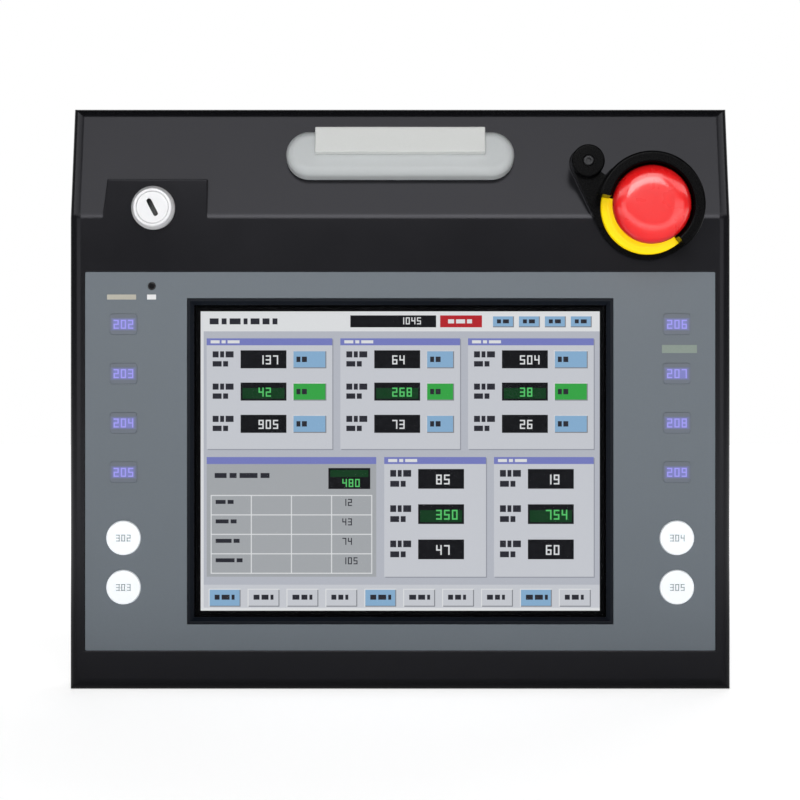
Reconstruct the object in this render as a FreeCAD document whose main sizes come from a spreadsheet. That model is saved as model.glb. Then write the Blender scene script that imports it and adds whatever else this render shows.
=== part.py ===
import FreeCAD, Part
import os
import re
import Sketcher
from FreeCAD import Placement, Rotation, Vector
from math import atan2, tan

# Handheld operator panel. Millimetres, +Z up, the display faces -Y and +X is on its right.
# The origin lies on the flat base, midway through the depth of the front shell.

SIZES = {
    # front shell, seen from the front
    "case_width": 349,
    "base_margin": 20.6,
    "overlay_height": 200,
    "band_height": 29.4,
    "head_rise": 58.5,
    "overlay_margin": 8.2,
    # front shell, seen from the side
    "shell_depth": 30,
    "head_tilt": 14,
    "edge_round": 6,
    "ridge_round": 12,
    "corner_round": 2.5,
    "wall": 3,
    "front_wall": 3,
    "overlay_thick": 1.2,
    "overlay_set": 0.3,
    "overlay_corner": 0.8,
    # fits
    "fit_gap": 0.2,
    "slide_gap": 0.25,
    "turn_gap": 0.05,
    "seat_gap": 0.1,
    # display
    "screen_width": 211.2,
    "screen_height": 158.4,
    "mask_border": 3.2,
    "bezel_width": 3.4,
    "bezel_slope": 2,
    "glass_lap": 2,
    "glass_thick": 1.8,
    "air_gap": 0.3,
    "cell_border": 2.5,
    "cell_thick": 2,
    "tray_border": 8,
    "tray_depth": 8.5,
    # boards
    "sheet_thick": 1.5,
    "board_thick": 1.6,
    "board_width": 190,
    "board_height": 136,
    "standoff_length": 6,
    "standoff_radius": 2.5,
    "standoff_inset": 8,
    "post_radius": 4,
    "post_span": 80,
    "key_board_width": 26,
    "key_board_drop": 5.5,
    "switch_size": 6,
    "terminal_width": 44,
    "terminal_height": 12,
    "terminal_depth": 11,
    # keys
    "key_share": 0.622,
    "key_drop": 27.8,
    "key_pitch": 26,
    "round_key_gap": 34.6,
    "key_width": 14,
    "key_height": 11,
    "key_lip": 1.2,
    "key_proud": 0.3,
    "key_travel": 0.8,
    "round_key_radius": 9,
    "round_key_proud": 1.3,
    "round_key_travel": 1.5,
    "lens_radius": 2.1,
    "lens_gap": 14.9,
    "lens_drop": 7.6,
    # light-grey boss on the head
    "boss_rise": 31.4,
    "boss_length": 120.5,
    "boss_height": 24.8,
    "boss_thick": 9,
    "boss_edge": 4.4,
    "blank_length": 89.4,
    "blank_height": 14,
    "blank_lift": 5.6,
    "blank_thick": 4,
    # switches on the head
    "switch_inset": 44.5,
    "switch_rise": 4,
    "pad_outer": 26.6,
    "pad_inner": 28.2,
    "pad_lean": 2.3,
    "pad_corner": 0.8,
    "pad_rise": 15.3,
    "stop_hole_radius": 11.15,
    "stop_head_radius": 20.5,
    "stop_head_height": 16.5,
    "stop_head_depth": 14.5,
    "stop_shoulder": 8,
    "stop_socket": 6,
    "stop_crown": 2.4,
    "stop_travel": 5,
    "stop_neck": 10,
    "stop_stem_radius": 7,
    "stop_tail": 16,
    "stem_spare": 1,
    "collar_radius": 24.7,
    "collar_height": 6.5,
    "guard_radius": 27.6,
    "guard_wall": 2.6,
    "guard_lip": 6,
    "guard_flange": 2.5,
    "guard_height": 25,
    "guard_middle": 59,
    "guard_sweep": 220,
    "lug_reach": 39.7,
    "lug_angle": 142.6,
    "lug_radius": 8.6,
    "lug_height": 9,
    "nut_thick": 4.5,
    "nut_rim": 4.5,
    "contact_length": 22,
    "stop_block_width": 30,
    "stop_block_height": 38,
    "lock_block_width": 22,
    "lock_block_height": 29,
    "lock_hole_radius": 8.1,
    "lock_bezel_radius": 11.4,
    "lock_bezel_height": 6,
    "lock_face_radius": 8.5,
    "lock_rotor_radius": 5.5,
    "lock_tail": 14,
    "slot_width": 2.6,
    "slot_length": 10,
    "slot_depth": 9,
    "slot_angle": 27,
    # rear cover
    "wing_depth": 12,
    "hump_spare": 1.8,
    "hump_half_width": 116,
    "hump_base": 46,
    "hump_split": 226,
    "hump_head_inset": 14.5,
    "hump_top_inset": 11.5,
    "hump_corner": 9,
    "box_ledge": 9,
    "rear_round": 4,
    "screw_radius": 1.5,
    "screw_head_radius": 2.8,
    "screw_head_height": 2.4,
    "screw_boss_radius": 4.5,
    "screw_boss_length": 11,
    "screw_bite": 9,
    "screw_middle_span": 60,
    "seal_width": 1.2,
    "seal_depth": 1.2,
    "seal_inset": 0.8,
    # enabling switches
    "enable_inset": 28.5,
    "enable_rise": 140,
    "boot_width": 24,
    "boot_height": 64,
    "boot_corner": 11,
    "boot_proud": 8,
    "boot_round": 3,
    "boot_flange": 2,
    "boot_flange_thick": 1.5,
    "enable_travel": 4,
    "enable_depth": 13,
    "enable_ear": 6,
    # bracket inserts and feet
    "insert_span": 75,
    "insert_rise": 135,
    "insert_radius": 2.9,
    "insert_bore": 2.1,
    "insert_length": 8,
    "foot_radius": 7,
    "foot_thick": 2.5,
    "foot_sink": 0.8,
    "foot_inset": 15,
    # cable gland
    "gland_offset": 70,
    "gland_radius": 8,
    "gland_bore": 4.5,
    "gland_seal_radius": 6.2,
    "gland_hex": 9.6,
    "gland_hex_height": 5,
    "gland_neck": 9,
    "gland_cap_length": 13,
    "gland_lock_thick": 4,
}

FUNCTION_KEY_ROWS = 4
ROUND_KEY_ROWS = 2
TERMINAL_WAYS = 8
SIDES = {"left": "-1", "right": "1"}

# Heights above the base
OVERLAY_TOP = "(base_margin + overlay_height)"
SCREEN_Z = "(base_margin + overlay_height / 2)"
RIDGE = f"({OVERLAY_TOP} + band_height)"
TOP = f"({RIDGE} + head_rise)"
SWITCH_Z = f"({RIDGE} + switch_rise)"
PAD_TOP = f"({SWITCH_Z} + pad_rise)"
HUMP_TOP = f"({TOP} - hump_top_inset)"

# Display outlines
BEZEL_W = "(screen_width + 2 * mask_border + 2 * bezel_width)"
BEZEL_H = "(screen_height + 2 * mask_border + 2 * bezel_width)"
GLASS_W = "(screen_width + 2 * mask_border + 2 * glass_lap)"
GLASS_H = "(screen_height + 2 * mask_border + 2 * glass_lap)"
TRAY_W = "(screen_width + 2 * tray_border)"
TRAY_H = "(screen_height + 2 * tray_border)"

# Places from side to side; the keys stand at a share of the strip beside the display
HALF = "(case_width / 2)"
KEY_STRIP = f"({HALF} - overlay_margin - {BEZEL_W} / 2)"
KEY_X = f"({BEZEL_W} / 2 + {KEY_STRIP} * key_share)"
SWITCH_X = f"({HALF} - switch_inset)"
ENABLE_X = f"({HALF} - enable_inset)"
HEAD_HALF = f"({HALF} - hump_head_inset)"
SCREW_INSET = "(wall + screw_boss_radius * 0.75)"
SCREW_X = f"({HALF} - {SCREW_INSET})"

# Depths behind the front plane
FRONT_Y = "(-shell_depth / 2)"
RECESS = "(overlay_set + overlay_thick)"
INNER = f"({RECESS} + front_wall)"
TRAY_BACK = f"({INNER} + tray_depth)"
CARRIER_BACK = f"({TRAY_BACK} + sheet_thick)"
BOARD_FRONT = f"({CARRIER_BACK} + standoff_length)"
BOARD_BACK = f"({BOARD_FRONT} + board_thick)"
KEY_BOARD_FRONT = f"({INNER} + key_board_drop)"
WING_BACK = "(shell_depth + wing_depth)"
WING_INNER = f"({WING_BACK} - wall)"
HUMP_DEPTH = "(2 * gland_hex + wall + hump_spare)"
HUMP_BACK = f"({WING_BACK} + {HUMP_DEPTH})"
HEAD_WALL = "(wall / cos(head_tilt))"
GLAND_DEPTH = f"({WING_BACK} + ({HUMP_DEPTH} - wall) / 2)"

# Guard lug, from the stop button's axis
LUG_X = "(lug_reach * cos(lug_angle))"
LUG_Y = "(lug_reach * sin(lug_angle))"
PAD_LENGTH = f"((switch_rise + {LUG_Y} + lug_radius) * tan(head_tilt) + wall)"

doc = FreeCAD.newDocument("handheld_panel")
dims = doc.addObject("Spreadsheet::Sheet", "dims")
for row, (alias, value) in enumerate(SIZES.items(), 1):
    dims.set(f"A{row}", alias)
    dims.set(f"B{row}", str(value))
    dims.setAlias(f"B{row}", alias)
doc.recompute()

ALIAS = re.compile(r"\b(" + "|".join(SIZES) + r")\b")
FACING = Rotation(Vector(1, 0, 0), 90)
nodes = {}


def cell(text):
    return ALIAS.sub(r"dims.\1", str(text))


def number(text):
    value = dims.evalExpression(cell(text))
    return float(getattr(value, "Value", value))


def bind(obj, prop, text):
    obj.setExpression(prop, cell(text))


def piece(label, x="0", z="0"):
    """A body whose own Z points out of the display and whose own Y points up."""
    body = doc.addObject("PartDesign::Body", label)
    body.Label = label
    body.AllowCompound = True
    body.Placement = Placement(Vector(), FACING)
    bind(body, "Placement.Base.x", x)
    bind(body, "Placement.Base.y", FRONT_Y)
    bind(body, "Placement.Base.z", z)
    nodes[label] = body
    return body


class Plan:
    """A sketch that is drawn first and then constrained in one go."""

    def __init__(self, made):
        self.made = made
        self.count = 0
        self.rules = []
        self.texts = {}

    def draw(self, shape, helper=False):
        self.made.addGeometry(shape, helper)
        self.count += 1
        return self.count - 1

    def rule(self, *parts):
        self.rules.append(Sketcher.Constraint(*parts))

    def size(self, text, *parts):
        self.texts[len(self.rules)] = text
        self.rule(*parts, number(text))

    def place(self, geometry, spot, x, y):
        self.size(x, "DistanceX", -1, 1, geometry, spot)
        self.size(y, "DistanceY", -1, 1, geometry, spot)

    def settle(self):
        self.made.addConstraint(self.rules)
        for index, text in self.texts.items():
            bind(self.made, f"Constraints[{index}]", text)
        return self.made


def sketch(body, depth="0", plane="XY_Plane", turn=None):
    """A plan on one of the body's planes, set back by a depth; turn rotates it about an axis."""
    made = body.newObject("Sketcher::SketchObject", body.Label + "_sketch")
    support = [item for item in body.Origin.OriginFeatures if item.Role == plane]
    made.AttachmentSupport = [(support[0], "")]
    made.MapMode = "FlatFace"
    if turn:
        made.AttachmentOffset = Placement(Vector(), Rotation(turn[0], 1))
        bind(made, "AttachmentOffset.Rotation.Angle", turn[1])
    bind(made, "AttachmentOffset.Base.z", f"-({depth})")
    return Plan(made)


def circle(plan, x, y, radius):
    center = Vector(number(x), number(y), 0)
    geometry = plan.draw(Part.Circle(center, Vector(0, 0, 1), number(radius)))
    plan.place(geometry, 3, x, y)
    plan.size(radius, "Radius", geometry)


def outline(plan, corners):
    """A closed outline through the corners; a corner with a third value is rounded by that radius."""
    count = len(corners)
    spots = [Vector(number(c[0]), number(c[1]), 0) for c in corners]
    enter, leave, arcs = [], [], []
    for i, corner in enumerate(corners):
        come = (spots[i] - spots[i - 1]).normalize()
        go = (spots[(i + 1) % count] - spots[i]).normalize()
        radius = number(corner[2]) if len(corner) > 2 else 0
        side = 1 if come.cross(go).z > 0 else -1
        reach = radius * tan(come.getAngle(go) / 2)
        enter.append(spots[i] - come * reach)
        leave.append(spots[i] + go * reach)
        center = enter[i] + Vector(-come.y, come.x, 0) * (side * radius)
        arcs.append((center, radius, side))
    lines = [plan.draw(Part.LineSegment(leave[i], enter[(i + 1) % count])) for i in range(count)]
    for i, corner in enumerate(corners):
        center, radius, side = arcs[i]
        if radius:
            first, last = (enter[i], leave[i]) if side > 0 else (leave[i], enter[i])
            start = atan2(first.y - center.y, first.x - center.x)
            stop = atan2(last.y - center.y, last.x - center.x)
            arc = plan.draw(Part.ArcOfCircle(Part.Circle(center, Vector(0, 0, 1), radius), start, stop))
            tip = plan.draw(Part.Point(spots[i]), True)
            near, far = (1, 2) if side > 0 else (2, 1)
            plan.place(tip, 1, corner[0], corner[1])
            plan.rule("PointOnObject", tip, 1, lines[i - 1])
            plan.rule("PointOnObject", tip, 1, lines[i])
            plan.rule("Tangent", lines[i - 1], 2, arc, near)
            plan.rule("Tangent", arc, far, lines[i], 1)
            plan.size(corner[2], "Radius", arc)
        else:
            plan.rule("Coincident", lines[i - 1], 2, lines[i], 1)
            plan.place(lines[i], 1, corner[0], corner[1])


def rectangle(plan, x, y, width, height, radius=None):
    right, top = f"({x}) + ({width}) / 2", f"({y}) + ({height}) / 2"
    left, low = f"({x}) - ({width}) / 2", f"({y}) - ({height}) / 2"
    corners = [(left, low), (right, low), (right, top), (left, top)]
    outline(plan, [spot + (radius,) if radius else spot for spot in corners])


def hexagon(plan, x, y, flat_radius):
    reach = f"(({flat_radius}) / cos(30))"
    outline(plan, [(f"({x}) + {reach} * cos({turn})", f"({y}) + {reach} * sin({turn})")
                   for turn in range(0, 360, 60)])


def feature(body, kind, plan, length, inward, both_ways):
    added = body.newObject("PartDesign::" + kind, body.Label + "_" + kind.lower())
    added.Profile = plan.settle()
    added.SideType = "Symmetric" if both_ways else "One side"
    added.Reversed = inward != (kind == "Pocket")
    bind(added, "Length", length)
    return added


def pad(body, plan, length, inward=False, both_ways=False):
    return feature(body, "Pad", plan, length, inward, both_ways)


def pocket(body, plan, length, inward=True, both_ways=False):
    return feature(body, "Pocket", plan, length, inward, both_ways)


def turned(body, corners, sweep=None):
    """A solid of revolution about the body's own Z; corners are (radius, height)."""
    turn = (Vector(0, 1, 0), sweep[0]) if sweep else None
    plan = sketch(body, plane="XZ_Plane", turn=turn)
    outline(plan, corners)
    added = body.newObject("PartDesign::Revolution", body.Label + "_revolution")
    added.Profile = plan.settle()
    added.ReferenceAxis = (plan.made, ["V_Axis"])
    if sweep:
        added.Midplane = True
        bind(added, "Angle", sweep[1])
    return added


def edge_feature(body, kind, size, wanted):
    """A fillet or chamfer on the edges of the body so far that the test picks."""
    doc.recompute()
    base = body.Tip
    names = [f"Edge{i}" for i, edge in enumerate(base.Shape.Edges, 1) if wanted(edge)]
    added = body.newObject("PartDesign::" + kind, body.Label + "_" + kind.lower())
    added.Base = (base, names)
    bind(added, "Radius" if kind == "Fillet" else "Size", size)
    return added


def lies_at(edge, height):
    box = edge.BoundBox
    return abs(box.ZMin - height) < 1e-4 and abs(box.ZMax - height) < 1e-4


def setback(z):
    return f"((({z}) - {RIDGE}) * tan(head_tilt))"


def screw_places():
    side = [(f"{s} * {SCREW_X}", z) for s in SIDES.values()
            for z in (SCREW_INSET, f"{TOP} / 3", f"{TOP} * 2 / 3", f"({TOP} - {SCREW_INSET})")]
    middle = [(f"{s} * screw_middle_span", z) for s in SIDES.values()
              for z in (SCREW_INSET, f"({TOP} - {SCREW_INSET})")]
    return side + middle


def post_places():
    reach = f"({TRAY_H} / 2 + post_radius + fit_gap)"
    return [(f"{s} * post_span", f"{SCREEN_Z} + {up} * {reach}")
            for s in SIDES.values() for up in SIDES.values()]


def function_key_places():
    return [(f"{s} * {KEY_X}", f"({OVERLAY_TOP} - key_drop - {row} * key_pitch)")
            for s in SIDES.values() for row in range(FUNCTION_KEY_ROWS)]


def round_key_places():
    drop = f"(key_drop + {FUNCTION_KEY_ROWS - 1} * key_pitch + round_key_gap)"
    return [(f"{s} * {KEY_X}", f"({OVERLAY_TOP} - {drop} - {row} * key_pitch)")
            for s in SIDES.values() for row in range(ROUND_KEY_ROWS)]


def key_board_screw_places(side):
    between = f"({OVERLAY_TOP} - key_drop - key_pitch / 2)"
    below = f"({OVERLAY_TOP} - key_drop - {FUNCTION_KEY_ROWS - 1} * key_pitch - round_key_gap / 2)"
    return [(f"{side} * {KEY_X}", between), (f"{side} * {KEY_X}", below)]


KEY_BOARD_POST = "(post_radius * 0.7)"
HEX_SOCKET = "(screw_radius * 0.8)"
LENS_X = f"(lens_gap - {KEY_X})"
LENS_Z = f"({OVERLAY_TOP} - lens_drop)"
INSERT_PLACES = [(f"{sx} * insert_span / 2", f"insert_rise + {sz} * insert_span / 2")
                 for sx in SIDES.values() for sz in SIDES.values()]
FOOT_PLACES = [(f"{s} * (hump_half_width - foot_inset)", "hump_base + foot_inset") for s in SIDES.values()]
FOOT_PLACES += [(f"{s} * ({HEAD_HALF} - foot_inset)", f"{HUMP_TOP} - foot_inset") for s in SIDES.values()]


def guard_footprint(body, round_length, lug_length, web_length, inward):
    """The guard's base: a disc, a lug beside it and a web along their lower common tangent."""
    x, y = ("0", "0") if not inward else (SWITCH_X, SWITCH_Z)
    disc = sketch(body)
    circle(disc, x, y, "guard_radius")
    pad(body, disc, round_length, inward)
    lug = sketch(body)
    circle(lug, f"{x} + {LUG_X}", f"{y} + {LUG_Y}", "lug_radius")
    pad(body, lug, lug_length, inward)
    swing = "(lug_angle * 1 deg + acos((guard_radius - lug_radius) / lug_reach))"
    web = sketch(body)
    outline(web, [
        (x, y),
        (f"{x} + {LUG_X}", f"{y} + {LUG_Y}"),
        (f"{x} + {LUG_X} + lug_radius * cos({swing})", f"{y} + {LUG_Y} + lug_radius * sin({swing})"),
        (f"{x} + guard_radius * cos({swing})", f"{y} + guard_radius * sin({swing})"),
    ])
    pad(body, web, web_length, inward)


def key_openings(body):
    """Openings through the front wall for the keys and the status lens."""
    rounds = sketch(body)
    for x, z in round_key_places():
        circle(rounds, x, z, "round_key_radius + slide_gap")
    circle(rounds, LENS_X, LENS_Z, "lens_radius + turn_gap")
    pocket(body, rounds, f"{INNER} + wall / 2")
    for x, z in function_key_places():
        opening = sketch(body)
        rectangle(opening, x, z, "key_width + 2 * slide_gap", "key_height + 2 * slide_gap", "key_lip")
        pocket(body, opening, f"{INNER} + wall / 2")


def make_front_shell():
    body = piece("front_shell")
    side = sketch(body, plane="YZ_Plane")
    outline(side, [
        ("0", "0"),
        ("0", "-shell_depth"),
        (TOP, "-shell_depth"),
        (TOP, f"-{setback(TOP)}"),
        (RIDGE, "0", "ridge_round"),
    ])
    pad(body, side, "case_width", both_ways=True)
    # the whole front outline is rounded, up the slope as well
    half, seam = number(HALF), -number("shell_depth")
    brow = (number(TOP), -number(setback(TOP)))

    def on_front_outline(edge):
        box, middle = edge.BoundBox, edge.CenterOfMass
        at_side = abs(abs(middle.x) - half) < 1e-3 and box.YLength > 1e-3 and box.ZMin > seam + 1e-3
        at_foot = abs(middle.y) < 1e-3 and abs(middle.z) < 1e-3
        at_brow = abs(middle.y - brow[0]) < 1e-3 and abs(middle.z - brow[1]) < 1e-3
        return at_side or at_foot or at_brow

    edge_feature(body, "Fillet", "edge_round", on_front_outline)
    # flat pads for the key switch and the stop button
    key_pad = sketch(body)
    outline(key_pad, [
        (f"-{SWITCH_X} - pad_outer", f"{RIDGE} - band_height / 2"),
        (f"-{SWITCH_X} + pad_inner", f"{RIDGE} - band_height / 2"),
        (f"-{SWITCH_X} + pad_inner", PAD_TOP, "pad_corner"),
        (f"-{SWITCH_X} - pad_outer + pad_lean", PAD_TOP, "pad_corner"),
        (f"-{SWITCH_X} - pad_outer", RIDGE),
    ])
    pad(body, key_pad, f"{setback(PAD_TOP)} + wall", inward=True)
    guard_footprint(body, PAD_LENGTH, PAD_LENGTH, PAD_LENGTH, inward=True)
    # inside, following the head at an even wall
    inside = sketch(body, plane="YZ_Plane")
    inner_ridge = f"{RIDGE} + ({INNER} - {HEAD_WALL}) / tan(head_tilt)"
    roof = f"({TOP} - wall)"
    outline(inside, [
        ("wall", f"-{INNER}"),
        ("wall", "-shell_depth - wall"),
        (roof, "-shell_depth - wall"),
        (roof, f"-{setback(roof)} - {HEAD_WALL}"),
        (inner_ridge, f"-{INNER}"),
    ])
    pocket(body, inside, "case_width - 2 * wall", both_ways=True)
    # bosses for the cover screws, posts for the carrier plate and the key boards
    bosses = sketch(body, "shell_depth")
    for x, z in screw_places():
        circle(bosses, x, z, "screw_boss_radius")
    pad(body, bosses, "screw_boss_length")
    posts = sketch(body, INNER)
    for x, z in post_places():
        circle(posts, x, z, "post_radius")
    pad(body, posts, "tray_depth", inward=True)
    studs = sketch(body, INNER)
    for hand in SIDES.values():
        for x, z in key_board_screw_places(hand):
            circle(studs, x, z, KEY_BOARD_POST)
    pad(body, studs, "key_board_drop", inward=True)
    pilots = sketch(body, "shell_depth")
    for x, z in screw_places():
        circle(pilots, x, z, "screw_radius + turn_gap")
    pocket(body, pilots, "screw_bite + seat_gap", inward=False)
    taps = sketch(body, TRAY_BACK)
    for x, z in post_places():
        circle(taps, x, z, "screw_radius + turn_gap")
    pocket(body, taps, "tray_depth", inward=False)
    key_taps = sketch(body, KEY_BOARD_FRONT)
    for hand in SIDES.values():
        for x, z in key_board_screw_places(hand):
            circle(key_taps, x, z, "screw_radius + turn_gap")
    pocket(body, key_taps, "key_board_drop", inward=False)
    # level seats for the panel nuts behind the head
    seats = sketch(body, INNER)
    for side, hole in ((SWITCH_X, "stop_hole_radius"), (f"-{SWITCH_X}", "lock_hole_radius")):
        circle(seats, side, SWITCH_Z, f"({hole} + nut_rim) / cos(30) + fit_gap")
    pocket(body, seats, "shell_depth")
    # recess for the overlay, window for the display and openings for keys and switches
    recess = sketch(body)
    rectangle(recess, "0", SCREEN_Z, "case_width - 2 * overlay_margin", "overlay_height", "overlay_corner")
    pocket(body, recess, RECESS)
    openings = sketch(body)
    rectangle(openings, "0", SCREEN_Z, f"{BEZEL_W} + 2 * fit_gap", f"{BEZEL_H} + 2 * fit_gap")
    circle(openings, SWITCH_X, SWITCH_Z, "stop_hole_radius")
    circle(openings, f"-{SWITCH_X}", SWITCH_Z, "lock_hole_radius")
    pocket(body, openings, f"{INNER} + wall / 2")
    key_openings(body)
    guard_tap = sketch(body)
    circle(guard_tap, f"{SWITCH_X} + {LUG_X}", f"{SWITCH_Z} + {LUG_Y}", "screw_radius + turn_gap")
    pocket(body, guard_tap, "screw_bite")
    # groove for the seal in the seam
    groove = sketch(body, "shell_depth")
    seal_outline(groove, "0")
    pocket(body, groove, "seal_depth", inward=False)


def seal_outline(plan, gap):
    for inset in (f"seal_inset + {gap}", f"seal_inset + seal_width - {gap}"):
        rectangle(plan, "0", f"{TOP} / 2", f"case_width - 2 * ({inset})", f"{TOP} - 2 * ({inset})")


def make_seal():
    body = piece("shell_seal")
    ring = sketch(body, "shell_depth")
    seal_outline(ring, "turn_gap")
    pad(body, ring, "seal_depth")


def make_overlay():
    body = piece("panel_overlay")
    sheet = sketch(body, RECESS)
    rectangle(sheet, "0", SCREEN_Z, "case_width - 2 * overlay_margin - 2 * fit_gap",
              "overlay_height - 2 * fit_gap", "overlay_corner")
    rectangle(sheet, "0", SCREEN_Z, f"{BEZEL_W} + 2 * fit_gap", f"{BEZEL_H} + 2 * fit_gap")
    pad(body, sheet, "overlay_thick")
    key_openings(body)


def make_display():
    bezel = piece("screen_bezel", z=SCREEN_Z)
    frame = sketch(bezel, INNER)
    rectangle(frame, "0", "0", BEZEL_W, BEZEL_H)
    rectangle(frame, "0", "0", "screen_width + 2 * mask_border", "screen_height + 2 * mask_border")
    pad(bezel, frame, f"{INNER} - overlay_set")
    rabbet = sketch(bezel, INNER)
    rectangle(rabbet, "0", "0", f"{GLASS_W} + 2 * fit_gap", f"{GLASS_H} + 2 * fit_gap")
    pocket(bezel, rabbet, "glass_thick", inward=False)
    half = number("screen_width / 2 + mask_border")
    rim = -number("overlay_set")
    edge_feature(bezel, "Chamfer", "bezel_slope",
                 lambda edge: lies_at(edge, rim) and abs(edge.CenterOfMass.x) < half + 1e-3
                 and abs(edge.CenterOfMass.y) < number("screen_height / 2 + mask_border") + 1e-3)
    glass = piece("touch_glass", z=SCREEN_Z)
    pane = sketch(glass, INNER)
    rectangle(pane, "0", "0", GLASS_W, GLASS_H, "glass_lap")
    pad(glass, pane, "glass_thick")
    cell_body = piece("display_cell", z=SCREEN_Z)
    stack = sketch(cell_body, f"{INNER} + air_gap")
    cell_size = ("screen_width + 2 * cell_border", "screen_height + 2 * cell_border")
    rectangle(stack, "0", "0", *cell_size)
    pad(cell_body, stack, "cell_thick", inward=True)
    tray = piece("display_tray", z=SCREEN_Z)
    box = sketch(tray, INNER)
    rectangle(box, "0", "0", TRAY_W, TRAY_H, "corner_round")
    pad(tray, box, "tray_depth", inward=True)
    bed = sketch(tray, INNER)
    rectangle(bed, "0", "0", *[f"{side} + 2 * fit_gap" for side in cell_size])
    pocket(tray, bed, "air_gap + cell_thick")


def make_boards():
    plate = piece("carrier_plate")
    sheet = sketch(plate, TRAY_BACK)
    rectangle(sheet, "0", SCREEN_Z, TRAY_W, f"{TRAY_H} + 4 * post_radius", "post_radius")
    for x, z in post_places():
        circle(sheet, x, z, "screw_radius + fit_gap")
    for hand in SIDES.values():
        rectangle(sheet, f"{hand} * (board_width / 2 + post_radius)", SCREEN_Z, "post_radius",
                  "board_height / 2", "post_radius / 3")
    pad(plate, sheet, "sheet_thick", inward=True)
    screws("carrier_screws", post_places(), CARRIER_BACK, "sheet_thick + tray_depth - 2 * seat_gap")
    corners = [(f"{sx} * (board_width / 2 - standoff_inset)",
                f"{SCREEN_Z} + {sz} * (board_height / 2 - standoff_inset)")
               for sx in SIDES.values() for sz in SIDES.values()]
    legs = piece("board_standoffs")
    feet = sketch(legs, CARRIER_BACK)
    for x, z in corners:
        hexagon(feet, x, z, "standoff_radius")
    pad(legs, feet, "standoff_length", inward=True)
    board = piece("main_board")
    card = sketch(board, BOARD_FRONT)
    rectangle(card, "0", SCREEN_Z, "board_width", "board_height", "standoff_radius")
    pad(board, card, "board_thick", inward=True)
    chips = sketch(board, BOARD_BACK)
    chip_z = f"{SCREEN_Z} + board_height / 6"
    rectangle(chips, "-board_width / 5", chip_z, "board_width / 5", "board_height / 4")
    rectangle(chips, "board_width / 6", chip_z, "board_width / 7", "board_height / 7")
    rectangle(chips, "board_width / 3", SCREEN_Z, "board_width / 12", "board_height / 2")
    pad(board, chips, "board_thick * 3", inward=True)
    terminal = piece("wire_terminal")
    block = sketch(terminal, BOARD_BACK)
    terminal_z = f"{SCREEN_Z} - board_height / 2 + terminal_height"
    rectangle(block, "0", terminal_z, "terminal_width", "terminal_height")
    pad(terminal, block, "terminal_depth", inward=True)
    ways = sketch(terminal, f"{BOARD_BACK} + terminal_depth")
    for way in range(TERMINAL_WAYS):
        place = f"({2 * way + 1} / {2 * TERMINAL_WAYS} - 1 / 2) * terminal_width"
        circle(ways, place, terminal_z, f"terminal_width / {4 * TERMINAL_WAYS}")
    pocket(terminal, ways, "terminal_depth / 2", inward=False)
    for name, hand in SIDES.items():
        make_key_board(name, hand)


def make_key_board(name, hand):
    board = piece(f"key_board_{name}")
    card = sketch(board, KEY_BOARD_FRONT)
    low = f"({OVERLAY_TOP} - key_drop - {FUNCTION_KEY_ROWS} * key_pitch - round_key_gap - key_height)"
    high = f"({OVERLAY_TOP} - key_drop + key_height)"
    rectangle(card, f"{hand} * {KEY_X}", f"({low} + {high}) / 2",
              "key_board_width", f"{high} - {low}", "key_lip")
    for x, z in key_board_screw_places(hand):
        circle(card, x, z, "screw_radius + fit_gap")
    pad(board, card, "board_thick", inward=True)
    groups = [(function_key_places(), "key_travel"), (round_key_places(), "round_key_travel")]
    for places, travel in groups:
        domes = sketch(board, KEY_BOARD_FRONT)
        half = len(places) // 2
        for x, z in places[:half] if name == "left" else places[half:]:
            rectangle(domes, x, z, "switch_size", "switch_size")
        pad(board, domes, f"key_board_drop - seat_gap - key_lip - {travel} - slide_gap")
    screws(f"key_board_screws_{name}", key_board_screw_places(hand), f"({KEY_BOARD_FRONT} + board_thick)",
           "board_thick + key_board_drop - 2 * seat_gap")


def screws(label, places, seat, reach, backward=False):
    """Socket-head screws driven towards the front or the back, their heads on a seat at a depth."""
    body = piece(label)
    shanks = sketch(body, seat)
    for x, z in places:
        circle(shanks, x, z, "screw_radius")
    pad(body, shanks, reach, inward=backward)
    heads = sketch(body, seat)
    for x, z in places:
        circle(heads, x, z, "screw_head_radius")
    pad(body, heads, "screw_head_height", inward=not backward)
    sockets = sketch(body, f"{seat} {'-' if backward else '+'} screw_head_height")
    for x, z in places:
        hexagon(sockets, x, z, HEX_SOCKET)
    pocket(body, sockets, "screw_head_height / 2", inward=backward)


def make_keys():
    for index, (x, z) in enumerate(function_key_places(), 1):
        key = piece(f"function_key_{index}", x, z)
        cap = sketch(key, f"{INNER} + seat_gap")
        rectangle(cap, "0", "0", "key_width", "key_height", "key_lip")
        pad(key, cap, f"{INNER} + seat_gap - overlay_set + key_proud")
        rim = sketch(key, f"{INNER} + seat_gap")
        rectangle(rim, "0", "0", "key_width + 2 * key_lip", "key_height + 2 * key_lip")
        pad(key, rim, "key_lip", inward=True)
        face = number("key_proud - overlay_set")
        edge_feature(key, "Fillet", "key_proud", lambda edge: lies_at(edge, face))
    for index, (x, z) in enumerate(round_key_places(), 1):
        key = piece(f"round_key_{index}", x, z)
        face = "round_key_proud - overlay_set"
        turned(key, [
            ("0", f"-{INNER} - seat_gap - key_lip"),
            ("round_key_radius + key_lip", f"-{INNER} - seat_gap - key_lip"),
            ("round_key_radius + key_lip", f"-{INNER} - seat_gap"),
            ("round_key_radius", f"-{INNER} - seat_gap"),
            ("round_key_radius", face, "round_key_proud / 2"),
            ("0", face),
        ])
    lens = piece("status_lens", LENS_X, LENS_Z)
    turned(lens, [
        ("0", f"-{INNER} - key_lip"),
        ("lens_radius + key_lip", f"-{INNER} - key_lip"),
        ("lens_radius + key_lip", f"-{INNER}"),
        ("lens_radius", f"-{INNER}"),
        ("lens_radius", "0", "lens_radius / 4"),
        ("0", "0"),
    ])


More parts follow.
